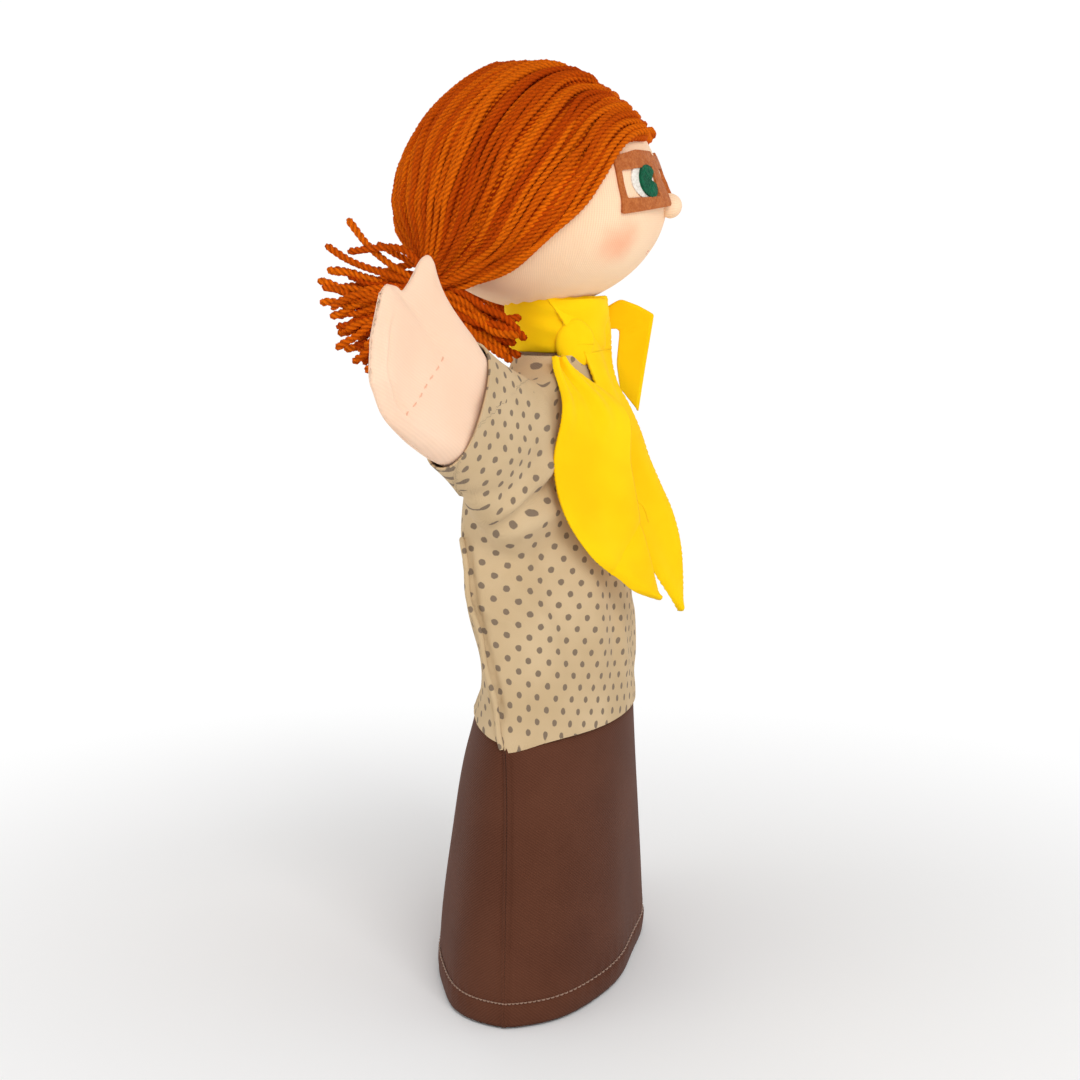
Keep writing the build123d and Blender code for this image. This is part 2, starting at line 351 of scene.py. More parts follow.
def jersey_material(name, light, dark, ribs, blush=False):
    """Skin-coloured jersey; the head's has rouged cheeks."""
    s = Shader(name, 0.92, 0.08, 0.12)
    height = jersey_height(s)
    tone = s.ramp(s.noise(30, 4), 0.3, 0.7)
    tint = s.mix(tone, colour(*dark), colour(*light))
    # painted shade: darker in the grooves between the jersey's ribs
    low = tuple(part * 0.9 for part in dark)
    groove = s.math("MULTIPLY", s.math("SUBTRACT", 1.0, height), ribs)
    tint = s.mix(groove, tint, colour(*low))
    if blush:
        for side in (-1, 1):
            cheek = tuple(head_point(side * CHEEK_TURN, CHEEK_Z, 0) * MM)
            away = s.node("ShaderNodeVectorMath", "Value", {0: s.place(), 1: cheek},
                          operation="DISTANCE")
            away = s.math("MULTIPLY_ADD", s.noise(160, 3), 0.006, away)
            rouge = s.ramp(away, CHEEK_SIZE * MM + 0.003, 0.003)
            tint = s.mix(s.math("MULTIPLY", rouge, 0.62), tint, colour(243, 158, 120))
    s.main.inputs["Subsurface Weight"].default_value = 0.06
    s.main.inputs["Subsurface Radius"].default_value = (0.004, 0.002, 0.0012)
    return s.finish(tint, height, 0.6 * ribs, 0.00018)


def yarn_material(name, dark, light):
    """Plied wool: shade between the plies, loose fibres and a change from strand to strand."""
    s = Shader(name, 0.9, 0.0, 0.05)
    u, v = s.uv()
    strand = s.node("ShaderNodeAttribute", "Fac", {}, attribute_name="strand")
    fibre = s.node("ShaderNodeCombineXYZ", 0, {0: s.math("MULTIPLY", u, 0.5), 1: v, 2: strand})
    fine = s.noise(9, 4, fibre)
    tone = s.math("MULTIPLY_ADD", fine, 0.6, s.math("MULTIPLY", strand, 0.4))
    tint = s.mix(s.ramp(tone, 0.2, 0.75), colour(*dark), colour(*light))
    depth = s.node("ShaderNodeAttribute", "Fac", {}, attribute_name="ply")
    tint = s.mix(s.math("MULTIPLY", depth, 0.6), tint, colour(*(0.62 * part for part in dark)))
    return s.finish(tint, fine, 0.5, 0.0003)


def scarf_material():
    """Smooth yellow cotton, warmer where light comes through it."""
    s = Shader("yellow_cotton", 0.88, 0.04, 0.12)
    u, v = s.uv()
    weave = plain_weave(s, u, v, 0.42)
    shade = s.ramp(s.noise(30, 3), 0.3, 0.7)
    tint = s.mix(shade, colour(250, 196, 0), colour(255, 212, 10))
    tint = s.mix(s.math("MULTIPLY", weave, 0.15), tint, colour(228, 160, 0))
    s.main.inputs["Subsurface Weight"].default_value = 0.15
    s.main.inputs["Subsurface Radius"].default_value = (0.004, 0.0025, 0.0003)
    return s.finish(tint, weave, 0.2, 0.00015)


def felt_material(name, light, dark):
    """Pressed felt: matted fibres with fuzz and flecks."""
    s = Shader(name, 0.95, 0.15, 0.1)
    mat = s.noise(1500, 5)
    long_fibre = s.noise(420, 3)
    tone = s.math("MULTIPLY_ADD", mat, 0.6, s.math("MULTIPLY", long_fibre, 0.4))
    tint = s.mix(s.ramp(tone, 0.35, 0.65), colour(*dark), colour(*light))
    return s.finish(tint, tone, 0.7, 0.0005)


def thread_material(name, light, dark):
    """Sewing thread with its twist."""
    s = Shader(name, 0.6, 0.2, 0.4)
    twist = s.noise(2200, 2)
    tint = s.mix(twist, colour(*dark), colour(*light))
    return s.finish(tint, twist, 0.4, 0.0001)


def card_material():
    """Wound grey-brown card with its layers at the cut ends."""
    s = Shader("card", 0.85, 0.0)
    fibres = s.noise(600, 4)
    tint = s.mix(fibres, colour(160, 130, 96), colour(190, 162, 124))
    return s.finish(tint, fibres, 0.3, 0.0002)


DOT_SPACING = 7.0
DOT_RADIUS = 0.98
DOT_TURN = 9
JERSEY_RIB = 0.85
CHEEK_TURN = 38
CHEEK_Z = 233
CHEEK_SIZE = 11


def head_point(turn, z, lift):
    """A point on the head, turned from the face's middle towards the right, lifted off it."""
    share = (z - HEAD[2]) / HEAD_HALF_HEIGHT
    radius = HEAD_RADIUS * math.sqrt(max(0.0, 1 - share * share))
    angle = math.radians(turn)
    surface = np.array([-radius * math.sin(angle), -radius * math.cos(angle), z])
    normal = (surface - [0, 0, HEAD[2]]) / [HEAD_RADIUS**2, HEAD_RADIUS**2, HEAD_HALF_HEIGHT**2]
    return surface + unit(normal) * lift


twill = twill_material()
dotted = dotted_material()
head_jersey = jersey_material("head_jersey", (255, 224, 190), (253, 213, 175), 0.55, blush=True)
mitt_jersey = jersey_material("mitt_jersey", (247, 213, 186), (242, 204, 175), 0.2)
yarn_wool = yarn_material("rust_wool", (188, 62, 2), (240, 114, 8))
yarn_shadow = yarn_material("rust_shadow", (140, 42, 0), (168, 58, 2))
yellow = scarf_material()
brown_felt = felt_material("brown_felt", (190, 112, 60), (166, 88, 42))
white_felt = felt_material("white_felt", (240, 234, 226), (216, 208, 196))
green_felt = felt_material("green_felt", (16, 100, 68), (6, 70, 48))
hem_thread = thread_material("hem_thread", (170, 138, 118), (130, 96, 78))
mitt_thread = thread_material("mitt_thread", (240, 190, 160), (222, 160, 130))
pink_thread = thread_material("pink_thread", (226, 110, 96), (196, 74, 66))
card = card_material()

# ---------------------------------------------------------------- skirt and shirt

# height, half width, seam Y, front Y and back Y of the dress
DRESS = [
    (-2, 72, -3, -34, 30.6),
    (0, 71.8, -3, -34, 30.4),
    (20, 69, -2.8, -33.4, 28.8),
    (45, 64.5, -2.4, -32.6, 25.4),
    (70, 59.5, -1.6, -31.8, 21.2),
    (84, 57, -0.5, -31.4, 17.4),
    (98, 54, 2.6, -31.4, 14.2),
    (112, 52, 6.4, -31.4, 15.6),
    (131, 50, 11.2, -30, 18.4),
    (148, 48, 13, -28, 19),
    (168, 46, 9, -25.5, 16.5),
    (182, 42, 2, -22.5, 12),
    (190, 35, -4, -20.5, 9),
    (196, 20, -6.7, -20, 7),
]
CLOTH_THICK = 0.7
PANEL_ROUND = 1.1


def dress_point(side, phi, z, grow=0.0):
    """A point of the dress: side -1 is the front panel and 1 the back, phi runs from seam to seam."""
    half, seam, front, back = np.moveaxis(along(DRESS, z), -1, 0)
    depth = np.where(side < 0, front, back) - seam
    bulge = np.cos(phi) ** PANEL_ROUND
    return np.stack([(half + grow) * np.sin(phi), seam + (depth + side * grow) * bulge, z], -1)


def skirt_folds(phi, z, side):
    """How far the skirt's soft vertical folds stand out."""
    loose = smooth((WAIST_Z - z) / WAIST_Z)
    wave = np.sin(5.1 * phi + 0.8 * side + 0.012 * z) + 0.6 * np.sin(8.7 * phi - 1.7 + 0.02 * z)
    return loose * 0.75 * wave * np.cos(phi) ** 0.5


def skirt_panel(name, side):
    """One panel of the skirt with its turned hem, from seam to seam."""
    rows, columns = 90, 150
    phi = np.linspace(-math.pi / 2, math.pi / 2, columns)
    z, phi = np.meshgrid(np.linspace(0.0, 1.0, rows), phi, indexing="ij")
    z = z * (WAIST_Z + 2.5 + 5 * np.cos(phi) * (side > 0))
    phi = np.clip(phi, -math.pi / 2 + 1e-4, math.pi / 2 - 1e-4)
    # the waist's seam allowance goes inside the shirt
    rise = 5 * np.cos(phi) * (side > 0)
    inside = -0.5 * smooth((z - WAIST_Z - rise + 2) / 1.5) - 2.5 * smooth((z - WAIST_Z - rise) / 2)
    grid = dress_point(side, phi, z, 0)
    normal = grid_normals(grid) * (-1 if side < 0 else 1)
    # the hem: a row of stitches pulls the two layers together, and the fold swells below it
    hem = np.exp(-(((z - HEM_STITCH) / 0.7) ** 2)) * -0.35 + np.exp(-((z / 2.2) ** 2)) * -0.5
    hem = hem + 0.3 * smooth((HEM_STITCH - z) / 0.8)
    pucker = np.exp(-(((z - HEM_STITCH) / 3.5) ** 2)) * 0.12 * np.sin(phi * 58)
    # a sewn edge stands up along both sides
    edge = (1 - np.abs(phi) / (math.pi / 2)) * along(DRESS, z)[..., 0] * 1.3
    ridge = 0.55 * np.exp(-(((edge - 0.8) / 0.9) ** 2)) - 0.4 * np.exp(-(((edge - 3.2) / 0.6) ** 2))
    lift = skirt_folds(phi, z, side) + hem + pucker + ridge + inside
    grid = grid + normal * lift[..., None]
    arc = np.cumsum(np.linalg.norm(np.diff(grid, axis=1, prepend=grid[:, :1]), axis=2), axis=1)
    arc = arc - arc[:, columns // 2][:, None]
    piece = cloth_grid(name, grid, CLOTH_THICK, twill, np.stack([arc, z], -1), swap=side < 0)
    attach(piece, "body")
    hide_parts(name)
    return piece


HEM_STITCH = 7.0


def hem_stitches():
    """The hem's line of machine stitches, each a short loop of thread that sinks at its ends."""
    points, faces, uvs = [], [], []
    count = 150
    for side in (-1, 1):
        for i in range(count // 2):
            a = (i + 0.12) / (count / 2) * math.pi - math.pi / 2
            b = (i + 0.9) / (count / 2) * math.pi - math.pi / 2
            t = np.linspace(0, 1, 7)
            phi = a + (b - a) * t
            z = np.full_like(phi, HEM_STITCH)
            path = dress_point(side, phi, z, 0)
            out = unit(path - [0, 0, HEM_STITCH])
            path = path + out * (-0.25 + skirt_folds(phi, z, side) + 0.42 * np.sin(math.pi * t))[:, None]
            tube(points, faces, uvs, path, 0.24, 5)
    piece = joined_tubes("hem_stitches", points, faces, uvs, hem_thread)
    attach(piece, "body")
    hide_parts("hem_stitching")


def frames_along(path):
    """Two directions across a path at each of its points, without sudden turns."""
    tangent = unit(np.gradient(path, axis=0))
    side = np.cross(tangent[0], [0.31, 0.22, 0.92])
    sides = []
    for t in tangent:
        side = side - t * np.dot(side, t)
        side = side / max(np.linalg.norm(side), 1e-9)
        sides.append(side)
    sides = np.array(sides)
    return sides, np.cross(tangent, sides)


def tube(points, faces, uvs, path, radius, around):
    """Adds a round tube with closed, slightly rounded ends."""
    a, b = frames_along(path)
    n = len(path)
    radii = np.full(n, radius) if np.isscalar(radius) else np.array(radius, float)
    radii = radii.copy()
    radii[0] *= 0.6
    radii[-1] *= 0.6
    angle = np.linspace(0, 2 * math.pi, around, endpoint=False)
    ring = a[:, None] * np.cos(angle)[None, :, None] + b[:, None] * np.sin(angle)[None, :, None]
    start = sum(len(p) for p in points)
    points.append((path[:, None] + ring * radii[:, None, None]).reshape(-1, 3))
    faces.append(grid_faces(n, around, False, True, start))
    faces.append(cap_faces(start, around, True))
    faces.append(cap_faces(start + (n - 1) * around, around, False))
    length = np.cumsum(np.linalg.norm(np.diff(path, axis=0, prepend=path[:1]), axis=1))
    u = np.repeat(length, around)
    v = np.tile(angle * radius if np.isscalar(radius) else angle * radii.mean(), n)
    uvs.append(np.stack([u, v], 1))


def cap_faces(start, around, first):
    """Quads that close the end ring of a tube."""
    half = around // 2
    order = list(range(around))
    quads = []
    for i in range(half - 1 if around % 2 == 0 else half):
        a, b = order[i], order[i + 1]
        c, d = order[around - 2 - i], order[around - 1 - i]
        quads.append([a, b, c, d] if b != c else [a, b, d, d])
    quads = np.array(quads) + start
    return quads if first else quads[:, ::-1]


def joined_tubes(name, points, faces, uvs, material):
    """One mesh from the tubes that have been added."""
    polygons = []
    for block in faces:
        for face in block.tolist():
            seen = list(dict.fromkeys(face))
            if len(seen) > 2:
                polygons.append(seen)
    return mesh_piece(name, np.concatenate(points), polygons, material, np.concatenate(uvs))


skirt_panel("skirt_front_panel", -1)
skirt_panel("skirt_back_panel", 1)
hem_stitches()

# ---------------------------------------------------------------- the shirt

SLEEVE_END = 27.5
ARMHOLE = -8
BACK_WAIST_RISE = 5
COLLAR_TOP = 198
VOXEL = 1.15
# soft folds of the shirt: from and to, each as distance from the side seam and height,
# then the width of the fold and how far it stands out
SHIRT_FOLDS = [
    (0, 150, 44, 190, 3.2, 1.3),
    (2, 146, 40, 172, 2.6, -1.1),
    (4, 141, 48, 163, 3.4, 0.9),
    (6, 138, 30, 112, 3.0, 0.7),
    (18, 150, 34, 98, 4.0, -0.9),
    (34, 152, 44, 92, 4.5, 0.8),
    (48, 140, 56, 90, 4.0, -0.7),
    (10, 112, 16, 86, 3.0, -0.6),
    (0, 128, 14, 118, 2.2, 0.7),
    (58, 120, 66, 88, 4.0, 0.6),
    (-12, 172, 26, 178, 4.0, 0.8),
    (-16, 160, 14, 158, 3.0, -0.7),
]


def arm_ring(t, half_height, half_thick, around=48):
    """A flattened ring across the right arm at distance t from the shoulder."""
    angle = np.linspace(0, 2 * math.pi, around, endpoint=False)
    up = half_height * np.sign(np.cos(angle)) * np.abs(np.cos(angle)) ** 0.85
    back = half_thick * np.sign(np.sin(angle)) * np.abs(np.sin(angle)) ** 0.9
    return SHOULDER + ARM * t + up[:, None] * PALM_UP + back[:, None] * PALM_BACK


def closed_solid(rings):
    """Points and faces of a closed solid through rings with the same number of points."""
    rows, columns = len(rings), len(rings[0])
    ends = np.array([np.mean(rings[0], axis=0), np.mean(rings[-1], axis=0)])
    points = np.concatenate([np.concatenate(rings), ends])
    faces = grid_faces(rows, columns, False, True).tolist()
    low, last = rows * columns, (rows - 1) * columns
    for c in range(columns):
        d = (c + 1) % columns
        faces.append([d, c, low])
        faces.append([last + c, last + d, low + 1])
    return points, faces


def dress_ring(z, around=96):
    """The dress's closed outline at one height."""
    half = around // 2
    phi = np.linspace(-math.pi / 2, math.pi / 2, half, endpoint=False)
    heights = np.full(half, float(z))
    front = dress_point(-1, phi, heights)
    back = dress_point(1, -phi, heights)
    return np.concatenate([front, back])


def waist_phi(points):
    """Where points lie round the dress, from seam to seam."""
    half, seam, front, back = np.moveaxis(along(DRESS, points[:, 2]), -1, 0)
    depth = np.where(points[:, 1] < seam, seam - front, back - seam)
    y = np.clip(np.abs(points[:, 1] - seam) / depth, 0, 1) ** (1 / PANEL_ROUND)
    return np.arctan2(np.clip(points[:, 0] / half, -1, 1), y)


def seam_distance(points):
    """How far each point lies from the side seam round the dress, and whether it is in front."""
    half, seam, front, back = np.moveaxis(along(DRESS, points[:, 2]), -1, 0)
    ahead = points[:, 1] < seam
    phi = np.abs(waist_phi(points))
    steps = np.linspace(0, math.pi / 2, 200)
    lengths = []
    for typical in (FRONT_DEPTH, BACK_DEPTH):
        arc = np.stack([50 * np.sin(steps), typical * np.cos(steps) ** PANEL_ROUND], 1)
        walk = np.linalg.norm(np.diff(arc, axis=0, prepend=arc[:1]), axis=1).cumsum()
        lengths.append(walk[-1] - np.interp(phi, steps, walk))
    return np.where(ahead, lengths[0], lengths[1]) * half / 50, ahead


FRONT_DEPTH = 38
BACK_DEPTH = 10


def shirt_cloth(points):
    """Cloth coordinates on the shirt: along the cloth from the seam, and up."""
    right = points * [1, 1, 1]
    right[:, 0] = -np.abs(points[:, 0])
    gone, ahead = seam_distance(right)
    out = (right - SHOULDER) @ unit(ARM * [1, 1, 0])
    sleeve = smooth(((right - SHOULDER) @ ARM + 12) / 18)
    u = -gone * (1 - sleeve) + (out - 9) * sleeve
    side = np.where(points[:, 0] < 0, 1, -1) * np.where(ahead, 1, -1)
    return np.stack([u * side, points[:, 2]], 1), gone, ahead, sleeve, u


def fold_lift(gone, z, ahead, u):
    """How far the shirt's folds stand out at each point."""
    total = np.zeros(len(z))
    across = -u
    for g0, z0, g1, z1, width, rise in SHIRT_FOLDS:
        run = np.array([g1 - g0, z1 - z0])
        length = np.linalg.norm(run)
        t = ((across - g0) * run[0] + (z - z0) * run[1]) / length**2
        off = ((across - g0) * -run[1] + (z - z0) * run[0]) / length
        bent = off + 2.0 * np.sin(3 * t + g0)
        total = total + 1.7 * rise * np.exp(-((bent / width) ** 2)) * smooth(t * 4) * smooth((1 - t) * 2.5)
    back = np.sin(z * 0.21 + gone * 0.1) * np.exp(-(((z - 112) / 22) ** 2)) * 0.6
    return np.where(ahead, total, back)


def shirt():
    """The shirt, cut in one with its sleeves and then parted at the armholes."""
    blocks = [closed_solid([dress_ring(z) for z in np.linspace(76, 201, 60)])]
    rings = []
    for t in np.linspace(-34, SLEEVE_END + 4, 36):
        share = smooth((t + 34) / (SLEEVE_END + 30))
        rings.append(arm_ring(t, 20.4 + 8 * (1 - share), 8.8 + 3.2 * (1 - share)))
    arm_points, arm_faces = closed_solid(rings)
    blocks.append((arm_points, arm_faces))
    blocks.append((arm_points * MIRROR, [face[::-1] for face in arm_faces]))
    points, faces, start = [], [], 0
    for block_points, block_faces in blocks:
        points.append(block_points)
        faces += [[i + start for i in face] for face in block_faces]
        start += len(block_points)
    rough = mesh_piece("rough_shirt", np.concatenate(points), faces, dotted)
    remesh = rough.modifiers.new("voxels", "REMESH")
    remesh.mode = "VOXEL"
    remesh.voxel_size = VOXEL * MM
    even = rough.modifiers.new("even", "SMOOTH")
    even.factor = 0.6
    even.iterations = 18
    bpy.context.view_layer.update()
    solid = bpy.data.meshes.new_from_object(rough.evaluated_get(
        bpy.context.evaluated_depsgraph_get()))
    bpy.data.objects.remove(rough)
    points, faces, normals = mesh_arrays(solid)
    uvs, gone, ahead, sleeve, u = shirt_cloth(points)
    lift = fold_lift(gone, points[:, 2], ahead, u)
    # the sewn edge stands up beside the side seam, with a groove between
    edge = np.abs(gone) * (1 - sleeve) + 30 * sleeve
    low = smooth((150 - points[:, 2]) / 10)
    lift += low * np.where(ahead, -1.2 * np.exp(-(((edge - 0.6) / 1.1) ** 2)),
                           1.0 * np.exp(-(((edge - 1.6) / 1.3) ** 2)))
    points = points + normals * lift[:, None]
    # at the waist the shirt lies close round the skirt
    at_phi = waist_phi(points)
    close = np.where(ahead[:, None], dress_point(-1, at_phi, points[:, 2], 0.8),
                     dress_point(1, at_phi, points[:, 2], 0.8))
    share = smooth((WAIST_Z + 12 - points[:, 2]) / 10)[:, None]
    points = points * (1 - share) + close * share
    normals = point_normals(points, faces)

    middle = points[faces].mean(axis=1)
    back_rise = np.maximum(0, middle[:, 1] - 1.5) * BACK_WAIST_RISE / 20
    reach = np.abs(middle[:, 0])
    mirrored = middle.copy()
    mirrored[:, 0] = -reach
    out = (mirrored - SHOULDER) @ ARM
    near_arm = out > -10
    keep = (middle[:, 2] > WAIST_Z + back_rise) & (middle[:, 2] < COLLAR_TOP + 60 * near_arm)
    keep &= out < SLEEVE_END
    part = np.where(out < ARMHOLE, 0, np.where(middle[:, 0] < 0, 1, 2))
    # every cut edge is drawn straight along its line
    border = border_points(faces[keep])
    p = points[border]
    right = p.copy()
    right[:, 0] = -np.abs(p[:, 0])
    t = (right - SHOULDER) @ ARM
    at_cuff = t > SLEEVE_END - 4
    rise = np.maximum(0, p[:, 1] - 1.5) * BACK_WAIST_RISE / 20
    at_waist = p[:, 2] < WAIST_Z + 30
    shift = (SLEEVE_END - t)[:, None] * ARM * np.where(p[:, :1] < 0, [[1, 1, 1]], [[-1, 1, 1]])
    p = np.where(at_cuff[:, None], p + shift, p)
    hang = 3.0 * np.exp(-((seam_distance(right)[0] / 14) ** 2)) * (p[:, 1] < 0)
    p[:, 2] = np.where(at_waist, WAIST_Z + rise - hang, p[:, 2])
    at_collar = ~at_waist & ~at_cuff
    p[:, 2] = np.where(at_collar, COLLAR_TOP, p[:, 2])
    points[border] = p
    for index, name, bodies, slots in (
        (0, "shirt_body", ("body",), ("shirt_front_panel", "shirt_back_panel")),
        (1, "right_sleeve_cloth", ("body", "right_arm"), ("right_sleeve",)),
        (2, "left_sleeve_cloth", ("body", "left_arm"), ("left_sleeve",)),
    ):
        chosen = faces[keep & (part == index)]
        piece = thick_piece(name, points, chosen, normals, uvs, CLOTH_THICK, dotted)
        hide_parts(*slots)
        if index == 0:
            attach(piece, "body")
        else:
            flip = MIRROR if index == 2 else 1
            start = (SHOULDER + ARM * (ARMHOLE + 1)) * flip * MM
            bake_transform(piece)
    return points[np.unique(faces[keep])]


def shirt_seams(cloth):
    """The seam allowance that stands up along both side seams of the shirt."""
    for flip, word in ((1, "right"), (-1, "left")):
        z = np.linspace(WAIST_Z - 2, 145, 90)
        path = dress_point(-1, np.full(90, -1.5707), z, 0.9)
        # it follows the shirt's own side, drawn in below the armhole
        for spot in path:
            near = np.abs(cloth[:, 1:] - spot[1:] - [0.9, 0]).max(axis=1) < 1.4
            near &= np.abs(cloth[:, 0] - spot[0]) < 5
            if near.any():
                spot[0] = cloth[near, 0].min() - 0.3
        path[3:-3, 0] = np.convolve(path[:, 0], np.ones(7) / 7, "valid")
        path = path + np.stack([0 * z, 0.9 + 0.35 * np.sin(z * 0.31), 0 * z], -1)
        path[:, 0] += 0.3 * np.sin(z * 0.23 + 1) - 0.1
        points, faces, uvs = [], [], []
        tube(points, faces, uvs, path * [flip, 1, 1], 0.85, 10)
        piece = joined_tubes(f"{word}_shirt_seam", points, faces,
                             [uv[:, ::-1] + [0, WAIST_Z] for uv in uvs], dotted)
        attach(piece, "body")


def mesh_arrays(mesh):
    """Points in millimetres, quads and point normals of a mesh made of quads."""
    points = np.zeros(len(mesh.vertices) * 3)
    mesh.vertices.foreach_get("co", points)
    normals = np.zeros(len(mesh.vertices) * 3)
    mesh.vertices.foreach_get("normal", normals)
    faces = np.zeros(len(mesh.loops), int)
    mesh.loops.foreach_get("vertex_index", faces)
    return points.reshape(-1, 3) / MM, faces.reshape(-1, 4), normals.reshape(-1, 3)


def point_normals(points, faces):
    """Smooth normals of a mesh of quads."""
    a, b, c, d = (points[faces[:, k]] for k in range(4))
    flat = np.cross(c - a, d - b)
    total = np.zeros_like(points)
    for k in range(4):
        np.add.at(total, faces[:, k], flat)
    return unit(total)


def edges_once(faces):
    """The directed edges that only one face uses."""
    sides = np.stack([faces, np.roll(faces, -1, axis=1)], -1).reshape(-1, 2)
    keys = np.sort(sides, axis=1)
    code = keys[:, 0] * (keys.max() + 1) + keys[:, 1]
    values, index, counts = np.unique(code, return_index=True, return_counts=True)
    return sides[index[counts == 1]]


def border_points(faces):
    return np.unique(edges_once(faces))


def thick_piece(name, points, faces, normals, uvs, thick, material):
    """A shell of cloth from quads, this thick on its inner side, with the given normals."""
    used, compact = np.unique(faces, return_inverse=True)
    faces = compact.reshape(-1, 4)
    outer, normal = points[used], normals[used]
    count = len(used)
    rim = edges_once(faces)
    rim = np.stack([rim[:, 1], rim[:, 0], rim[:, 0] + count, rim[:, 1] + count], 1)
    every = np.concatenate([faces, faces[:, ::-1] + count, rim])
    flat = uvs[used]
    piece = mesh_piece(name, np.concatenate([outer, outer - normal * thick]), every, material,
                       np.concatenate([flat, flat]))
    # the cut edge keeps the normals of its own faces
    corners = np.concatenate([normal[faces].reshape(-1, 3), -normal[faces[:, ::-1]].reshape(-1, 3),
                              np.zeros((rim.size, 3))])
    piece.data.normals_split_custom_set(corners.tolist())
    return piece


shirt_seams(shirt())

# ---------------------------------------------------------------- yarn

YARN_PITCH = 6.0
YARN_RING = 0.9
YARN_RADIUS = 1.15
# round one strand: how far out each point lies and how deep it is between the plies
PLIES = [(1.08, 0.0), (0.97, 0.35), (0.8, 1.0), (0.97, 0.35)] * 3


def evenly(path, step):
    """The same path with its points this far apart, and their distances along it."""
    gone = np.cumsum(np.linalg.norm(np.diff(path, axis=0, prepend=path[:1]), axis=1))
    at = np.linspace(0, gone[-1], max(4, int(gone[-1] / step) + 1))
    return np.stack([np.interp(at, gone, path[:, k]) for k in range(3)], 1), at


def yarn_piece(name, strands, seed):
    """Plied yarn; each strand is a path and its radius at both ends."""
    rng = np.random.default_rng(seed)
    around = len(PLIES)
    shape, groove = np.array(PLIES).T
    points, faces, uvs, shade, depth, start = [], [], [], [], [], 0
    for path, radii in strands:
        path, at = evenly(np.asarray(path, float), YARN_RING)
        a, b = frames_along(path)
        turn = rng.random() * 6.28 + at * 2 * math.pi / YARN_PITCH
        angle = turn[:, None] + np.linspace(0, 2 * math.pi, around, endpoint=False)[None]
        size = np.interp(at / at[-1], [0, 1], radii)[:, None] * shape[None]
        size[[0, -1]] *= 0.55
        ring = a[:, None] * np.cos(angle)[..., None] + b[:, None] * np.sin(angle)[..., None]
        points.append((path[:, None] + ring * size[..., None]).reshape(-1, 3))
        faces.append(grid_faces(len(path), around, False, True, start))
        faces.append(cap_faces(start, around, True))
        faces.append(cap_faces(start + (len(path) - 1) * around, around, False))
        uvs.append(np.stack([np.repeat(at, around), (size * angle).ravel() % 8], 1))
        shade.append(np.full(len(path) * around, rng.random()))
        depth.append(np.tile(groove, len(path)))
        start += len(path) * around
    piece = mesh_piece(name, np.concatenate(points), np.concatenate(faces), yarn_wool,
                       np.concatenate(uvs))
    for label, values in (("strand", shade), ("ply", depth)):
        attribute = piece.data.attributes.new(label, "FLOAT", "POINT")
        attribute.data.foreach_set("value", np.concatenate(values).astype(np.float32))
    return piece


# ---------------------------------------------------------------- hair

AXES = np.array([HEAD_RADIUS, HEAD_RADIUS, HEAD_HALF_HEIGHT])
PARTING_FROM, PARTING_TO = 25, 207
# how far the foremost strand lies below the straight way to the tie, as a share of the head
HAIRLINE = [(0, 0), (0.08, -0.11), (0.17, -0.26), (0.27, -0.33), (0.37, -0.31), (0.47, -0.26),
            (0.57, -0.18), (0.66, -0.08), (0.75, 0.01), (0.86, 0.09), (1, 0.02)]


def hair_way(side, degrees, t, aside=0.0):
    """Directions from the head's middle along a strand, from the parting to the tie."""
    angle = math.radians(degrees)
    first = np.array([0, -math.cos(angle), math.sin(angle)])
    last = unit((TIE - HEAD) / AXES)
    whole = math.acos(float(first @ last))
    way = (np.sin((1 - t) * whole)[:, None] * first + np.sin(t * whole)[:, None] * last)
    below = unit(np.cross(first, last))
    share = (degrees - PARTING_FROM) / (PARTING_TO - PARTING_FROM)
    bow = along(HAIRLINE, t)[..., 0] * max(0.0, 1 - share / 0.5) ** 1.3
    # at the back the strands bulge out round the nape
    bow = bow + 0.1 * np.sin(math.pi * t) * smooth((share - 0.5) / 0.5)
    way = unit(unit(way) + below * (bow + aside)[:, None])
    return way * [-side, 1, 1]


def on_head(way, lift):
    """Points on the head in these directions, lifted off it."""
    slim = along(NARROWER, way[..., 2])
    surface = HEAD + way * AXES * np.concatenate([slim, slim, 1 - 0.04 * smooth(way[..., 2:])], -1)
    return surface + unit(way / AXES) * np.asarray(lift)[..., None]


# from the head's middle up, how much narrower it is than an even oval
NARROWER = [(-1, 1), (-0.25, 1), (-0.1, 0.985), (0, 0.955), (0.13, 0.935), (0.26, 0.915),
            (0.5, 0.885), (0.75, 0.84), (0.9, 0.8), (1, 0.78)]


def to_tie(side, points, t, offset):
    """Lets the ends of strands leave the head for the tie."""
    share = smooth((t - 0.74) / 0.26)[:, None]
    tie = (TIE + offset) * [-side, 1, 1]
    return points * (1 - share) + tie * share


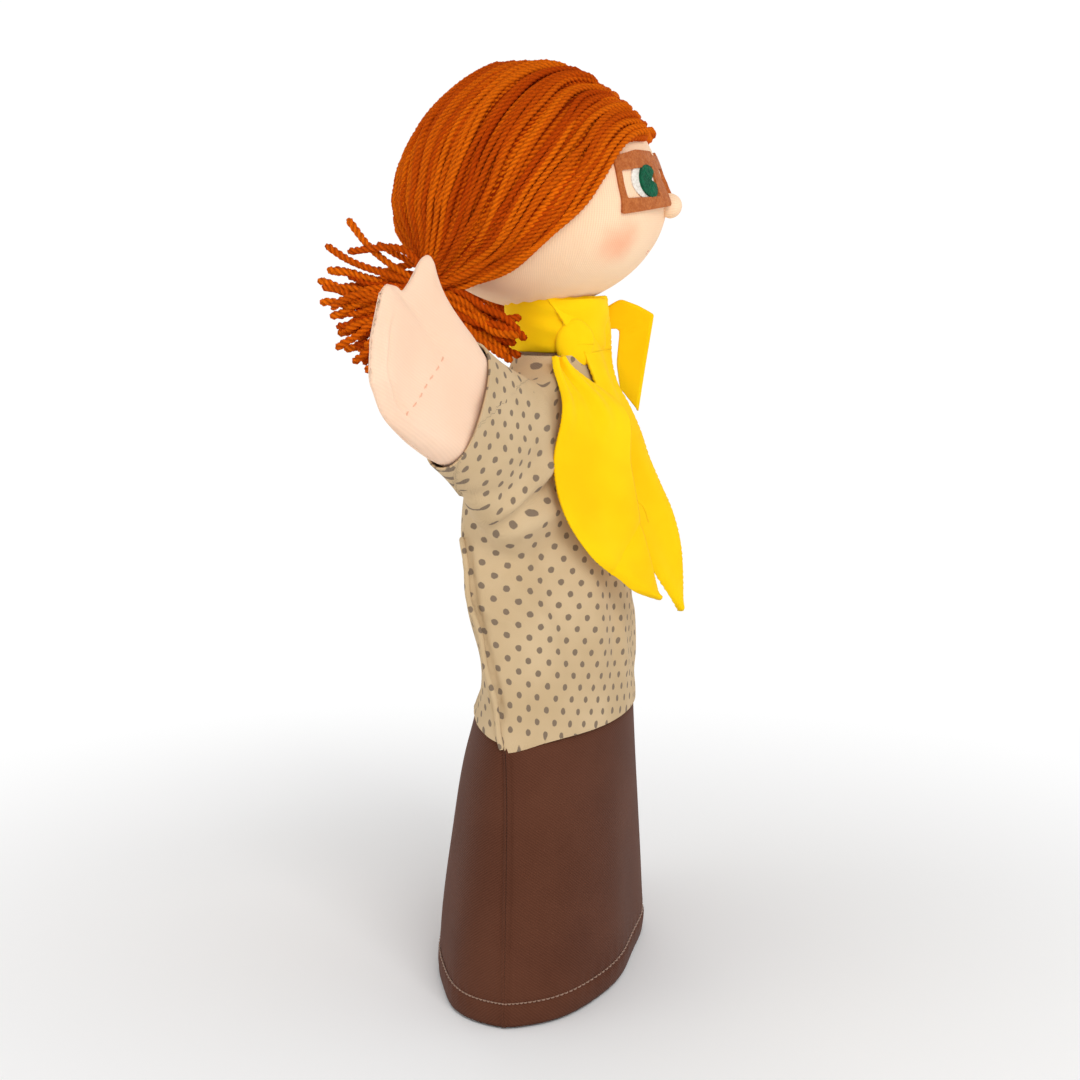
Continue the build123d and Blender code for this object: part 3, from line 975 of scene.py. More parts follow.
def hair(side, word):
    """One half of the hair: strands from the parting to the tie, over a layer below them."""
    rng = random.Random(40 + side)
    t = np.linspace(0, 1, 70)
    base = []
    for degrees in np.linspace(PARTING_FROM, PARTING_TO, 60):
        way = hair_way(side, degrees, t)
        base.append(to_tie(side, on_head(way, 0.9 + 0.6 * smooth(t * 5)), t, np.zeros(3)))
    base = np.array(base)[:, :68]
    flat = np.stack(np.meshgrid(np.arange(60) * 2.0, np.arange(68) * 1.5, indexing="ij"), -1)
    under = cloth_grid(f"{word}_hair_base", base, 0.8, yarn_shadow, flat, swap=side < 0)
    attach(under, "head")
    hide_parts(f"{word}_hair_cap")
    for layer, (count, lift, radius) in enumerate(((76, 1.8, 1.4), (78, 3.2, YARN_RADIUS))):
        strands, left, bulk, centre = [], 0, 0.0, 0.0
        step = (PARTING_TO - PARTING_FROM) / (count - 1)
        for i in range(count):
            if left == 0:
                left = rng.randint(3, 6)
                bulk = rng.uniform(-0.5, 1.2) * layer
                centre = PARTING_FROM + (i + left / 2) * step
            left -= 1
            degrees = PARTING_FROM + i * step + rng.uniform(-0.3, 0.3) * step
            degrees += 0.18 * (centre - degrees) * layer
            # the strands lie closer toward the face, where they spread out most
            share = min(max((degrees - PARTING_FROM) / (PARTING_TO - PARTING_FROM), 0), 1)
            degrees = PARTING_FROM + (PARTING_TO - PARTING_FROM) * share ** 1.15
            sway = wander(t, rng.random() * 90, 0.01 + 0.018 * layer, (0.9, 1.9, 3.3))
            sway = sway * np.sin(math.pi * t) ** 0.5
            way = hair_way(side, degrees, t, sway)
            high = 0.9 + (lift - 0.9) * smooth(t * 9)
            high = high + bulk * smooth(t * 9) * (1 - 0.75 * smooth(t * 1.6))
            high = high + rng.uniform(-0.35, 0.45) + 0.3 * wander(t, rng.random() * 90, 1.0)
            spot = np.array([rng.gauss(0, 1.6), rng.gauss(0, 1.6), rng.gauss(0, 1.9)])
            path = to_tie(side, on_head(way, high), t, spot)
            path[:, 0] -= side * -0.5 * (1 - smooth(t * 12))
            strands.append((path, (radius, radius * 0.8)))
        piece = yarn_piece(f"{word}_hair_{layer + 1}", strands, 7 + layer + side)
        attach(piece, "head")
        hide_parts(f"{word}_hair_cap")


def parting_stitches():
    """Backstitches that sew the hair down along the parting."""
    strands = []
    edges = np.linspace(PARTING_FROM + 2, PARTING_TO - 3, 34)
    for first, last in zip(edges[:-1], edges[1:]):
        t = np.linspace(0, 1, 8)
        angle = np.radians(first + (last - first) * (0.06 + 0.88 * t))
        way = np.stack([0 * angle, -np.cos(angle), np.sin(angle)], 1)
        strands.append((on_head(way, 1.6 + 0.9 * np.sin(math.pi * t)), (0.55, 0.55)))
    piece = yarn_piece("parting_backstitch", strands, 3)
    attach(piece, "head")
    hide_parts("parting_stitch")


# the tips of a bunch round its tie: from and to in degrees, share of strands, length
BUNCH_FAN = [(10, -58, 0.56, 33), (-58, -118, 0.1, 17), (-138, -158, 0.34, 35)]


def bunch(side, word):
    """The yarn below the tie, fanned out with cut ends, and the yarn wound round it."""
    rng = random.Random(90 + side)
    strands = []
    for first, last, share, reach in BUNCH_FAN:
        count = round(58 * share)
        for i in range(count):
            angle = math.radians(first + (last - first) * (i + rng.uniform(0.1, 0.9)) / count)
            length = reach * rng.uniform(0.78, 1.04)
            out = np.array([0, math.cos(angle), math.sin(angle)])
            t = np.linspace(0, 1, 24)
            spot = np.array([rng.gauss(0, 1.9), rng.gauss(0, 1.6), rng.gauss(0, 1.6)])
            end = TIE + out * length + [rng.uniform(-5, 4.5), 0, 0]
            bend = np.array([-rng.uniform(1, 4), 0, rng.uniform(-3.5, 2.0)])
            path = TIE + spot * (1 - t)[:, None] + (end - TIE) * t[:, None]
            path = path + bend * (np.sin(math.pi * t) * 0.9)[:, None]
            swing = wander(t, rng.random() * 90, 1.3, (0.8, 1.7, 3.1)) * t
            path = path + np.cross(out, [1, 0, 0]) * swing[:, None]
            path[:, 0] += wander(t, rng.random() * 90, 1.0, (0.7, 1.9, 2.9)) * t
            strands.append((path * [-side, 1, 1], (1.0, 1.3)))
    for way in STRAYS:
        path = np.stack([np.interp(np.linspace(0, len(way) - 1, 30), range(len(way)), column)
                         for column in np.array(way, float).T], 1)
        for _ in range(12):
            path[1:-1] = (path[:-2] + path[1:-1] * 2 + path[2:]) / 4
        strands.append((path * [-side, 1, 1], (1.1, 1.2)))
    piece = yarn_piece(f"{word}_bunch_yarn", strands, 20 + side)
    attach(piece, f"{word}_bunch")
    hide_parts(f"{word}_pigtail")
    pull = unit(TIE - on_head(unit((TIE - HEAD) / AXES), 0))
    a = unit(np.cross(pull, [0, 0, 1]))
    b = np.cross(pull, a)
    turn = np.linspace(0, 2 * math.pi * 3.2, 90)
    wound = TIE + (a * np.cos(turn)[:, None] + b * np.sin(turn)[:, None]) * 5.0
    wound = wound + pull * np.linspace(-2.6, 2.6, 90)[:, None]
    piece = yarn_piece(f"{word}_tie_yarn", [(wound * [-side, 1, 1], (1.15, 1.15))], 5)
    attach(piece, f"{word}_bunch")
    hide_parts(f"{word}_hair_tie")


# strands that stand away from the bunch, from the tie to the tip
STRAYS = [
    [(-28, 29, 220), (-35, 31, 229), (-36, 37, 232), (-33, 45, 231), (-31, 53, 230)],
    [(-28, 30, 220), (-32, 38, 225), (-32, 46, 231), (-31, 53, 240)],
    [(-28, 29, 219), (-33, 40, 223), (-33, 52, 227), (-31, 60, 232)],
]

for side, word in ((1, "right"), (-1, "left")):
    hair(side, word)
    bunch(side, word)
parting_stitches()

# ---------------------------------------------------------------- head and neck


def head_skin():
    """The stuffed ball of the head, gathered a little at the neck."""
    rows, columns = 150, 220
    lat = np.linspace(-math.pi / 2 + 0.18, math.pi / 2 - 0.02, rows)
    turn = np.linspace(0, 2 * math.pi, columns)
    lat, turn = np.meshgrid(lat, turn, indexing="ij")
    way = np.stack([np.sin(turn) * np.cos(lat), np.cos(turn) * np.cos(lat), np.sin(lat)], -1)
    gather = smooth((-lat - 0.95) / 0.45)
    low = 0.35 * gather * np.sin(turn * 19 + 1.5 * np.sin(turn * 3))
    # stuffing shows as slight unevenness, and the seam of the nose pulls a dimple
    lumps = 0.25 * np.sin(3 * turn + 1) * np.cos(4 * lat) + 0.2 * np.sin(5 * turn) * np.cos(3 * lat)
    grid = on_head(way, lumps * np.cos(lat) + low)
    for middle, size, deep in ((NOSE, 4.6, -0.6), (MOUTH, 2.6, 0.7)):
        away = np.linalg.norm(grid - middle, axis=-1)
        grid = grid - unit(way) * (deep * np.exp(-((away / size) ** 2)))[..., None]
    uvs = np.stack([turn * HEAD_RADIUS, lat * HEAD_HALF_HEIGHT], -1)
    piece = cloth_grid("head_ball", grid, 0.7, head_jersey, uvs, swap=True)
    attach(piece, "head")
    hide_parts("head_skin")


def nose():
    """A small ball of stuffed jersey, gathered at its base."""
    rows, columns = 36, 56
    lat = np.linspace(-1.35, math.pi / 2 - 0.03, rows)
    turn = np.linspace(0, 2 * math.pi, columns)
    lat, turn = np.meshgrid(lat, turn, indexing="ij")
    base = smooth((0.1 - lat) / 1.2)
    radius = NOSE_RADIUS * (1 - 0.18 * base) + 0.16 * base * np.sin(turn * 11)
    x, z = np.sin(turn) * np.cos(lat) * radius, np.cos(turn) * np.cos(lat) * radius
    grid = NOSE + np.stack([x, -np.sin(lat) * radius, z], -1)
    uvs = np.stack([turn * 3.4, lat * 3.4], -1)
    piece = cloth_grid("nose_ball", grid, 0.5, head_jersey, uvs)
    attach(piece, "head")
    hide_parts("nose")


def middle_of(node):
    low, high = box_mm(node)
    return (low + high) / 2


NOSE = middle_of("nose")
NOSE_RADIUS = (box_mm("nose")[1][2] - box_mm("nose")[0][2]) / 2 + 0.5
NOSE[1] = box_mm("nose")[0][1] + NOSE_RADIUS
MOUTH = middle_of("mouth_stitch")


def face_point(along_face, z, lift):
    """A point of the face, from its distance round the head from the middle and its height."""
    turn = np.asarray(along_face) / HEAD_RADIUS
    rise = np.clip((np.asarray(z) - HEAD[2]) / HEAD_HALF_HEIGHT, -0.99, 0.99)
    level = np.sqrt(1 - rise * rise)
    way = np.stack([np.sin(turn) * level, -np.cos(turn) * level, rise], -1)
    return on_head(way, lift)


def felt(name, loops, lift, thick, material, slot, *nodes, bridge=0.0):
    """Felt laid on the face; loops are its outline and holes, bridge its lift above the nose."""
    flat = bmesh.new()
    edges = []
    for loop in loops:
        ring = [flat.verts.new((x, z, 0)) for x, z in loop]
        edges += [flat.edges.new((a, b)) for a, b in zip(ring, ring[1:] + ring[:1])]
    bmesh.ops.triangle_fill(flat, use_beauty=True, use_dissolve=False, edges=edges)
    for _ in range(4):
        long_edges = [edge for edge in flat.edges if edge.calc_length() > 1.2]
        bmesh.ops.subdivide_edges(flat, edges=long_edges, cuts=1)
        bmesh.ops.triangulate(flat, faces=flat.faces[:])
    flat.verts.index_update()
    spot = np.array([v.co[:2] for v in flat.verts])
    faces = np.array([[v.index for v in face.verts] for face in flat.faces])
    flat.free()
    one, two = spot[faces[:, 1]] - spot[faces[:, 0]], spot[faces[:, 2]] - spot[faces[:, 0]]
    turned = one[:, 0] * two[:, 1] - one[:, 1] * two[:, 0] < 0
    faces[turned] = faces[turned][:, ::-1]
    count = len(spot)
    rim = edges_once(faces)
    rng = np.random.default_rng(count)
    fuzz = rng.normal(0, 0.035, count)
    under = lift + bridge * np.exp(-((spot[:, 0] / 12) ** 2)) * smooth((256 - spot[:, 1]) / 12)
    points = [face_point(spot[:, 0], spot[:, 1], under + thick + fuzz),
              face_point(spot[:, 0], spot[:, 1], under)]
    sides = np.stack([rim[:, 1], rim[:, 0], rim[:, 0] + count, rim[:, 1] + count], 1)
    polygons = faces.tolist() + (faces[:, ::-1] + count).tolist() + sides.tolist()
    piece = mesh_piece(name, np.concatenate(points), polygons, material,
                       np.concatenate([spot, spot]), smooth_faces=False)
    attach(piece, "head")
    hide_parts(*nodes)


def rounded(corners, radius, steps=6):
    """A polygon with rounded corners."""
    corners = np.array(corners, float)
    points = []
    for i, corner in enumerate(corners):
        before, after = corners[i - 1] - corner, corners[(i + 1) % len(corners)] - corner
        cut = min(radius, np.linalg.norm(before) * 0.45, np.linalg.norm(after) * 0.45)
        a, b = corner + unit(before) * cut, corner + unit(after) * cut
        for t in np.linspace(0, 1, steps):
            points.append((1 - t) ** 2 * a + 2 * t * (1 - t) * corner + t * t * b)
    return [tuple(p) for p in points]


LENS_OUTER = [(31, 258.3), (19, 260.4), (7.4, 260.2), (6.6, 259), (0, 258.8)]
LENS_INNER = [(0, 255.4), (5.8, 255.2), (5.0, 244.6), (18, 243.0), (30, 241.7)]
LENS_HOLE = [(28.7, 254.2), (11.2, 255.9), (11.3, 247.0), (28, 246.2)]
EYE_Z = 251.3


def oval(x, z, half_wide, half_high, notch=None):
    """An oval; notch is the two angles and the depth of a wedge cut out of it."""
    points = []
    for a in np.linspace(-math.pi, math.pi, 56, endpoint=False):
        if notch and notch[0] < a < notch[1]:
            middle = (notch[0] + notch[1]) / 2
            a, depth = middle, notch[2]
            place = (x + half_wide * depth * math.cos(a), z + half_high * depth * math.sin(a))
            if place not in points:
                points.append(place)
            continue
        points.append((x + half_wide * math.cos(a), z + half_high * math.sin(a)))
    return points


def face():
    """Eyes, spectacles and mouth."""
    for side, word in ((-1, "right"), (1, "left")):
        felt(f"{word}_eye_felt", [oval(side * 17.6, EYE_Z, 6.6, 5.2)], 0.05, 1.0, white_felt,
             "felt_white", f"{word}_eye_white")
        iris = [(-x if side > 0 else x, z) for x, z in
                oval(-15.6, EYE_Z, 5.0, 4.7, (-0.2, 0.65, 0.25))]
        felt(f"{word}_iris_felt", [iris], 1.05, 0.9, green_felt, "felt_green", f"{word}_iris")
    middle = LENS_OUTER[:4] + [(-x, z) for x, z in LENS_OUTER[3::-1]]
    middle += [(-x, z) for x, z in LENS_INNER[:0:-1]] + LENS_INNER[1:]
    outline = rounded(middle, 0.7, 4)
    holes = [rounded([(side * x, z) for x, z in LENS_HOLE], 0.9, 4) for side in (-1, 1)]
    felt("spectacles_felt", [outline, *holes], 0.1, 1.5, brown_felt, "felt_brown", "spectacles",
         bridge=2.2)
    t = np.linspace(0, 1, 12)
    points, faces, uvs = [], [], []
    for drop in (0, 0.75):
        path = face_point(-1.7 + 3.4 * t, MOUTH[2] - drop - 0.4 * np.sin(math.pi * t),
                          -1.1 + 1.2 * np.sin(math.pi * t))
        tube(points, faces, uvs, path, 0.42, 10)
    piece = joined_tubes("mouth_thread", points, faces, uvs, pink_thread)
    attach(piece, "head")
    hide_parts("mouth_stitch")


def neck():
    """The jersey over the card tube of the neck, gathered a little at the head."""
    rows, columns = 60, 120
    low, high = box_mm("neck_skin")
    z, turn = np.meshgrid(np.linspace(low[2], high[2], rows),
                          np.linspace(0, 2 * math.pi, columns), indexing="ij")
    crease = 0.3 * np.sin(turn * 9 + 0.08 * z) * smooth((z - 205) / 8)
    radius = (high[0] - low[0]) / 2 + crease
    grid = np.stack([radius * np.cos(turn), NECK_Y + radius * np.sin(turn), z], -1)
    uvs = np.stack([turn * 11, z], -1)
    piece = cloth_grid("neck_jersey", grid, 0.7, head_jersey, uvs)
    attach(piece, "neck")
    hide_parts("neck_skin")


head_skin()
nose()
face()
neck()

# ---------------------------------------------------------------- mitts

# distance along the hand from the wrist, then the lower and upper edge of the mitt
MITT_EDGE = [
    (-6, -17.6, 17.6), (0, -18.6, 18.6), (5, -19.4, 19.8), (12, -20.0, 20.8), (18, -20.4, 22.0),
    (24, -20.4, 24.0), (29, -20.2, 26.8), (32.5, -19.8, 29.2), (35.5, -19.0, 29.0),
    (37.6, -18.0, 25.6), (39.0, -17.2, 20.4), (40.6, -16.2, 16.4), (45.4, -12.4, 14.2),
    (48, -7.0, 13.2), (50, -1.0, 12.0), (51.2, 8.6, 9.2),
]
MITT_HALF = 6.4


def hand_points(t, h, out):
    """Points by distance from the wrist, height up the palm and distance to its back."""
    where = [np.asarray(part)[..., None] for part in (t, h, out)]
    return WRIST + where[0] * ARM + where[1] * PALM_UP + where[2] * PALM_BACK


def mitt_height(t, h, side):
    """Half the thickness of the stuffed mitt; side is -1 on the palm and 1 on the back."""
    line = np.linspace(-6, 51.2, 4000)
    low, high = np.moveaxis(along(MITT_EDGE, line), -1, 0)
    rim = np.concatenate([evenly(np.stack([line, edge, 0 * line], 1), 0.3)[0]
                          for edge in (low, high)])[:, :2]
    spots = np.stack([t.ravel(), h.ravel()], 1)
    away = np.min(np.linalg.norm(spots[:, None] - rim[None], axis=2), axis=1).reshape(t.shape)
    away = np.sqrt(np.maximum(0, away ** 2 - 0.15 ** 2))
    puff = np.sqrt(np.clip(1 - (1 - np.clip(away / 9.5, 0, 1)) ** 2, 0, 1))
    flat = 1 - 0.56 * smooth((t - 6) / 30)
    height = MITT_HALF * puff * flat
    # the seam allowance inside shows as a low ridge along the outer edge
    outer = smooth((t - 12) / 18) * smooth((10 - h) / 14)
    height = height + 0.55 * np.exp(-(((away - 3.6) / 0.9) ** 2)) * outer
    height = height - 0.35 * np.exp(-(((away - 5.2) / 0.7) ** 2)) * outer
    if side < 0:
        # the thumb is sewn off from the palm by a shallow groove
        groove = h - 8 - 0.25 * (t - 26)
        height = height - 0.5 * np.exp(-((groove / 1.6) ** 2)) * smooth((t - 14) / 8)
    wave = np.sin(0.21 * t + 0.33 * h) * np.sin(0.3 * h - 0.1 * t)
    return height + 0.28 * wave * smooth(away / 4)


def mitt(word, flip):
    """A mitt of two layers of jersey with its cuff tucked into the sleeve."""
    rows, columns = 120, 96
    t = -6 + 57.2 * np.sin(np.linspace(0, math.pi / 2, rows)) ** 0.9
    low, high = np.moveaxis(along(MITT_EDGE, t), -1, 0)
    share = (1 - np.cos(np.linspace(0, math.pi, columns))) / 2
    h = low[:, None] + (high - low)[:, None] * share[None]
    t = np.repeat(t[:, None], columns, 1)
    mirror = np.array([flip, 1, 1])
    for side, half in ((-1, "palm"), (1, "back")):
        height = mitt_height(t, h, side)
        height[:, [0, -1]] = 0
        grid = hand_points(t, h, side * height) * mirror
        thick = np.minimum(0.5, height * 0.5)[..., None] + 0.01
        uvs = np.stack([h * 1.0 + side * 60, t], -1)
        piece = cloth_grid(f"{word}_mitt_{half}_cloth", grid, thick, mitt_jersey, uvs,
                           swap=side * flip < 0)
        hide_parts(f"{word}_mitt_{half}")
        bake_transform(piece)
    points, faces, uvs = [], [], []
    for i in range(7):
        s = np.linspace(0, 1, 8)
        t = 20.6 + i * 1.15 + 0.8 * s
        h = 5.5 - i * 3.3 - 2.1 * s
        out = -mitt_height(t[None], h[None], -1)[0] + 0.35 - 0.5 * np.sin(math.pi * s)
        tube(points, faces, uvs, hand_points(t, h, out) * mirror, 0.22, 6)
    piece = joined_tubes(f"{word}_mitt_thread", points, faces, uvs, mitt_thread)
    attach(piece, f"{word}_hand")
    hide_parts(f"{word}_mitt_stitching")


mitt("right", 1)
mitt("left", -1)

# ---------------------------------------------------------------- neckerchief

SCARF_RADIUS = 15.4
SCARF_THICK = 0.8
# height, then where the two long edges of each hanging tail are
SIDE_TAIL = [
    (198, -12.5, -7.5), (194, -13.8, -4.5), (190, -15.6, -1.0), (185, -18.4, 3.6), (180, -21.0, 6.8),
    (172, -24.2, 6.6), (166, -25.6, 5.6), (158, -25.2, 6.2), (150, -22.0, 7.6), (143, -17.2, 9.2),
    (137, -11.6, 10.6), (131, -2.8, 12.2), (126, 4.4, 13.4), (122.6, 13.6, 14.2),
]
SIDE_AWAY = [(198, 22.4), (194, 24.6), (190, 28.6), (186, 33), (168, 38.8), (142, 42.4), (122, 44.5)]
SIDE_TURN = 40
# the front tail: height, then x and y of its right edge and of its left edge
FRONT_TAIL = [
    (216.0, -15.4, -4.8, 2.0, -21.4), (211, -15.8, -8.6, 4.0, -21.4), (205, -15.2, -12.4, 6.0, -21.4),
    (199, -13.8, -16.6, 7.0, -21.2), (194, -12.4, -18.6, 7.0, -21.6), (188, -12.0, -20.6, 5.0, -23.8),
    (181, -12.6, -21.6, 3.0, -28.4), (173, -13.6, -23.0, 2.6, -32.2), (164, -13.8, -24.8, 3.0, -35.0),
    (156, -12.6, -27.2, 4.0, -38.2), (147, -10.6, -30.4, 5.2, -42.0), (138, -8.0, -34.0, 5.2, -44.6),
    (128, -4.6, -38.6, 4.6, -46.0), (120, -0.6, -43.4, 3.6, -46.4), (115.4, 2.0, -46.0, 2.6, -46.4),
]
# the folded ribbon in front of the neck: y and z of its outer and of its inner edge
RIBBON = [
    (-14.5, 208.0, -15.0, 200.4), (-25.4, 214.8, -21.4, 204.9), (-31.4, 212.6, -24.4, 204.9),
    (-36.7, 209.8, -25.2, 204.2), (-36.2, 206.0, -25.3, 202.6), (-33.9, 191.4, -24.6, 194.0),
    (-31.9, 178.4, -25.8, 186.0),
]
RIBBON_X = 12


def frayed(u, edge):
    """The small unevenness of a cut edge that has begun to fray."""
    return edge * (0.10 * np.sin(u * 7.3) + 0.08 * np.sin(u * 17.1 + 1) + 0.06 * np.sin(u * 31.7))


def scarf_band():
    """The rolled band round the neck, its two edges folded in."""
    rows, columns = 60, 240
    turn = np.linspace(0, 2 * math.pi, columns)
    share = np.linspace(0, 1, rows)
    share, turn = np.meshgrid(share, turn, indexing="ij")
    near_knot = np.exp(-(((turn - 3.32) / 0.55) ** 2))
    low = 199.2 - 1.0 * near_knot + 0.6 * np.sin(turn * 2 + 0.6)
    high = 215.4 - 1.2 * np.cos(turn + 0.4) - 1.2 * near_knot
    z = low + (high - low) * share
    bulge = 0.9 * np.sin(math.pi * share) ** 0.6
    fold = 0.55 * np.sin(share * 9 + 1.4 * np.sin(turn * 1.5))
    fold = fold + 0.5 * np.sin(share * 17 + turn * 2) * near_knot
    lean = 1.0 * (share - 0.5)
    radius = SCARF_RADIUS + bulge + fold * 0.6 + lean
    grid = np.stack([radius * np.cos(turn), NECK_Y + radius * np.sin(turn), z], -1)
    piece = cloth_grid("neckerchief_band", grid, SCARF_THICK, yellow,
                       np.stack([turn * SCARF_RADIUS, z], -1), swap=True)
    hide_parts("scarf_band")
    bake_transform(piece)


def scarf_knot():
    """The gathered knot at the right of the neck, with folds running out of it."""
    rows, columns = 50, 90
    lat = np.linspace(-1.3, math.pi / 2 - 0.002, rows)
    turn = np.linspace(0, 2 * math.pi, columns)
    lat, turn = np.meshgrid(lat, turn, indexing="ij")
    out = unit(np.array([-0.86, -0.5, -0.05]))
    a = unit(np.cross([0, 0, 1.0], out))
    b = np.cross(out, a)
    pleat = 0.12 * np.sin(turn * 5 + 1.2 * lat) * smooth((1.45 - lat) / 0.8)
    x = (5.6 + pleat) * np.cos(lat) * np.cos(turn)
    y = (7.0 + pleat) * np.cos(lat) * np.sin(turn)
    depth = 1.5 * np.sin(lat) + 0.8 * pleat
    grid = np.array([-13.6, -14.8, 201.4]) + x[..., None] * a + y[..., None] * b
    grid = grid + depth[..., None] * out
    piece = cloth_grid("neckerchief_knot", grid, SCARF_THICK, yellow,
                       np.stack([turn * 5, lat * 5], -1))
    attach(piece, "body")
    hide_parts("scarf_knot")


def side_tail():
    """The leaf-shaped tail that hangs from the knot, creased across near its point."""
    rows, columns = 150, 60
    z = np.linspace(198, 122.6, rows)
    first, last = np.moveaxis(along(SIDE_TAIL, z), -1, 0)
    share = np.linspace(0, 1, columns)
    s = first[:, None] + (last - first)[:, None] * share[None]
    z = np.repeat(z[:, None], columns, 1)
    s = s + frayed(z, 1.0) * (np.where(share < 0.5, 1 - 2 * share, 2 * share - 1) ** 6)
    away = along(SIDE_AWAY, z)[..., 0]
    down = smooth((198 - z) / 60)
    gather = smooth((z - 168) / 26)
    fold = gather * (1.7 * np.sin(share * 11 + 0.6) + 0.8 * np.sin(share * 23))[None] * 0.8
    cup = -1.6 * (share - 0.45)[None] ** 2 * 4 * down
    # two soft rolls run down the leaf, and a diagonal crease crosses it
    roll = 0.55 * np.sin(share * 7.2 + 0.05 * z) * smooth((176 - z) / 20) * smooth((z - 124) / 16)
    crease = (z - 141) - 1.05 * (s - 3)
    roll = roll - 1.1 * np.exp(-np.abs(crease) / 3.5) * smooth((160 - z) / 10)
    away = away + fold + cup + roll
    turn = math.radians(SIDE_TURN)
    out = np.array([-math.sin(turn), -math.cos(turn), 0])
    aside = np.array([math.cos(turn), -math.sin(turn), 0])
    grid = away[..., None] * out + s[..., None] * aside + z[..., None] * np.array([0, 0, 1])
    piece = cloth_grid("neckerchief_side_tail", grid, SCARF_THICK, yellow, np.stack([s, z], -1),
                       swap=True)
    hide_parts("scarf_side_tail")
    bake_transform(piece)


def front_tail():
    """The layer that comes over the band's top, crosses the knot and hangs in front."""
    rows, columns = 170, 56
    z = np.linspace(216, 115.4, rows)
    x0, y0, x1, y1 = np.moveaxis(along(FRONT_TAIL, z), -1, 0)
    share = np.linspace(0, 1, columns)[None]
    x = x0[:, None] + (x1 - x0)[:, None] * share
    y = y0[:, None] + (y1 - y0)[:, None] * share
    z = np.repeat(z[:, None], columns, 1)
    run = np.stack([x1 - x0, y1 - y0], 1)
    normal = np.stack([run[:, 1], -run[:, 0]], 1) / np.maximum(np.linalg.norm(run, axis=1), 1)[:, None]
    high = smooth((z - 196) / 12)
    bow = 4 * share * (1 - share)
    # over the band the cloth lies round the neck; below it hangs in soft rolls
    lift = bow * (1.2 + 1.6 * high) + 0.9
    lift = lift + 0.6 * np.sin(share * 9 + 0.09 * z) * smooth((z - 176) / 14) * smooth((212 - z) / 8)
    lift = lift + 0.8 * np.sin(share * 6 + 0.05 * z + 1) * smooth((180 - z) / 20) * smooth((z - 116) / 20)
    x = x + normal[:, :1] * lift
    y = y + normal[:, 1:] * lift + frayed(z, 1.0) * np.abs(2 * share - 1) ** 6
    grid = np.stack([x, y, z], -1)
    uvs = np.stack([share * 20 + 0 * z, z], -1)
    cut = int(np.argmax(z[:, 0] < 199))
    drape = cloth_grid("neckerchief_drape", grid[:cut + 1], SCARF_THICK, yellow, uvs[:cut + 1],
                       swap=True)
    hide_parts("scarf_front_tail")
    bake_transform(drape)
    piece = cloth_grid("neckerchief_front_tail", grid[cut:], SCARF_THICK, yellow, uvs[cut:],
                       swap=True)
    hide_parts("scarf_front_tail")
    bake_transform(piece)


def ribbon():
    """The folded end of the knot, a flattened loop that stands out in front of the neck."""
    rows, columns = 120, 44
    gone = np.linspace(0, len(RIBBON) - 1, rows)
    edge = np.stack([np.interp(gone, range(len(RIBBON)), column) for column in zip(*RIBBON)], 1)
    for _ in range(10):
        edge[1:-1] = (edge[:-2] + 2 * edge[1:-1] + edge[2:]) / 4
    # across: up one layer, round the folded edge and back down the other layer
    walk = np.linspace(-1, 1, columns)
    share = 1 - np.abs(walk)
    puff = 0.95 * np.sign(walk) * np.clip(np.abs(walk) * 9, 0, 1) ** 0.5
    middle = edge[:, None, 2:] * (1 - share)[None, :, None] + edge[:, None, :2] * share[None, :, None]
    sway = 0.9 * np.sin(gone * 0.9)[:, None]
    puff = puff[None] * (1 + 0.5 * np.sin(gone * 1.1 + 0.5)[:, None] * (1 - share))
    grid = np.stack([RIBBON_X + sway + puff, middle[..., 0], middle[..., 1]], -1)
    length = np.cumsum(np.linalg.norm(np.diff(edge[:, :2], axis=0, prepend=edge[:1, :2]), axis=1))
    uvs = np.stack([np.repeat(length[:, None], columns, 1), np.repeat(walk[None] * 10, rows, 0)], -1)
    piece = cloth_grid("neckerchief_ribbon", grid, 0.5, yellow, uvs)
    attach(piece, "body")
    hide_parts("scarf_loop")


def loose_thread():
    """A thread that has come away from the side tail's edge."""
    t = np.linspace(0, 1, 24)
    turn = math.radians(SIDE_TURN)
    out = np.array([-math.sin(turn), -math.cos(turn), 0])
    aside = np.array([math.cos(turn), -math.sin(turn), 0])
    s = 6.6 + 5.6 * t
    z = 153.5 - 6.4 * t
    path = (40.2 + 1.2 * np.sin(3 * t))[:, None] * out + s[:, None] * aside
    path = path + (z + 0.9 * np.sin(5 * t))[:, None] * [0, 0, 1]
    points, faces, uvs = [], [], []
    tube(points, faces, uvs, path, 0.2, 6)
    piece = joined_tubes("neckerchief_thread", points, faces, uvs, yellow)
    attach(piece, "side_tail")


scarf_band()
scarf_knot()
side_tail()
front_tail()
ribbon()
loose_thread()

# ---------------------------------------------------------------- pieces that keep their form


def filling():
    """The wadding that fills the head, and the card of the tube in the neck."""
    s = Shader("wadding", 0.95, 0.1)
    fluff = s.noise(420, 5)
    wadding = s.finish(s.mix(fluff, colour(226, 222, 214), colour(246, 244, 240)), fluff, 0.8, 0.0006)
    lat, turn = np.meshgrid(np.linspace(-1.2, math.pi / 2 - 0.01, 50),
                            np.linspace(0, 2 * math.pi, 90), indexing="ij")
    way = np.stack([np.sin(turn) * np.cos(lat), np.cos(turn) * np.cos(lat), np.sin(lat)], -1)
    grid = on_head(way, -2.0 + 0.3 * np.sin(7 * turn) * np.sin(9 * lat) * np.cos(lat))
    piece = cloth_grid("head_wadding", grid, 1.5, wadding, np.stack([turn * 40, lat * 40], -1),
                       swap=True)
    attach(piece, "head")
    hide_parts("head_filling")
    for piece in bpy.data.objects:
        if piece.type == "MESH" and piece.name.split(".")[0] == "neck_tube":
            piece.data.materials.clear()
            piece.data.materials.append(card)


filling()

# ---------------------------------------------------------------- stage, light and camera

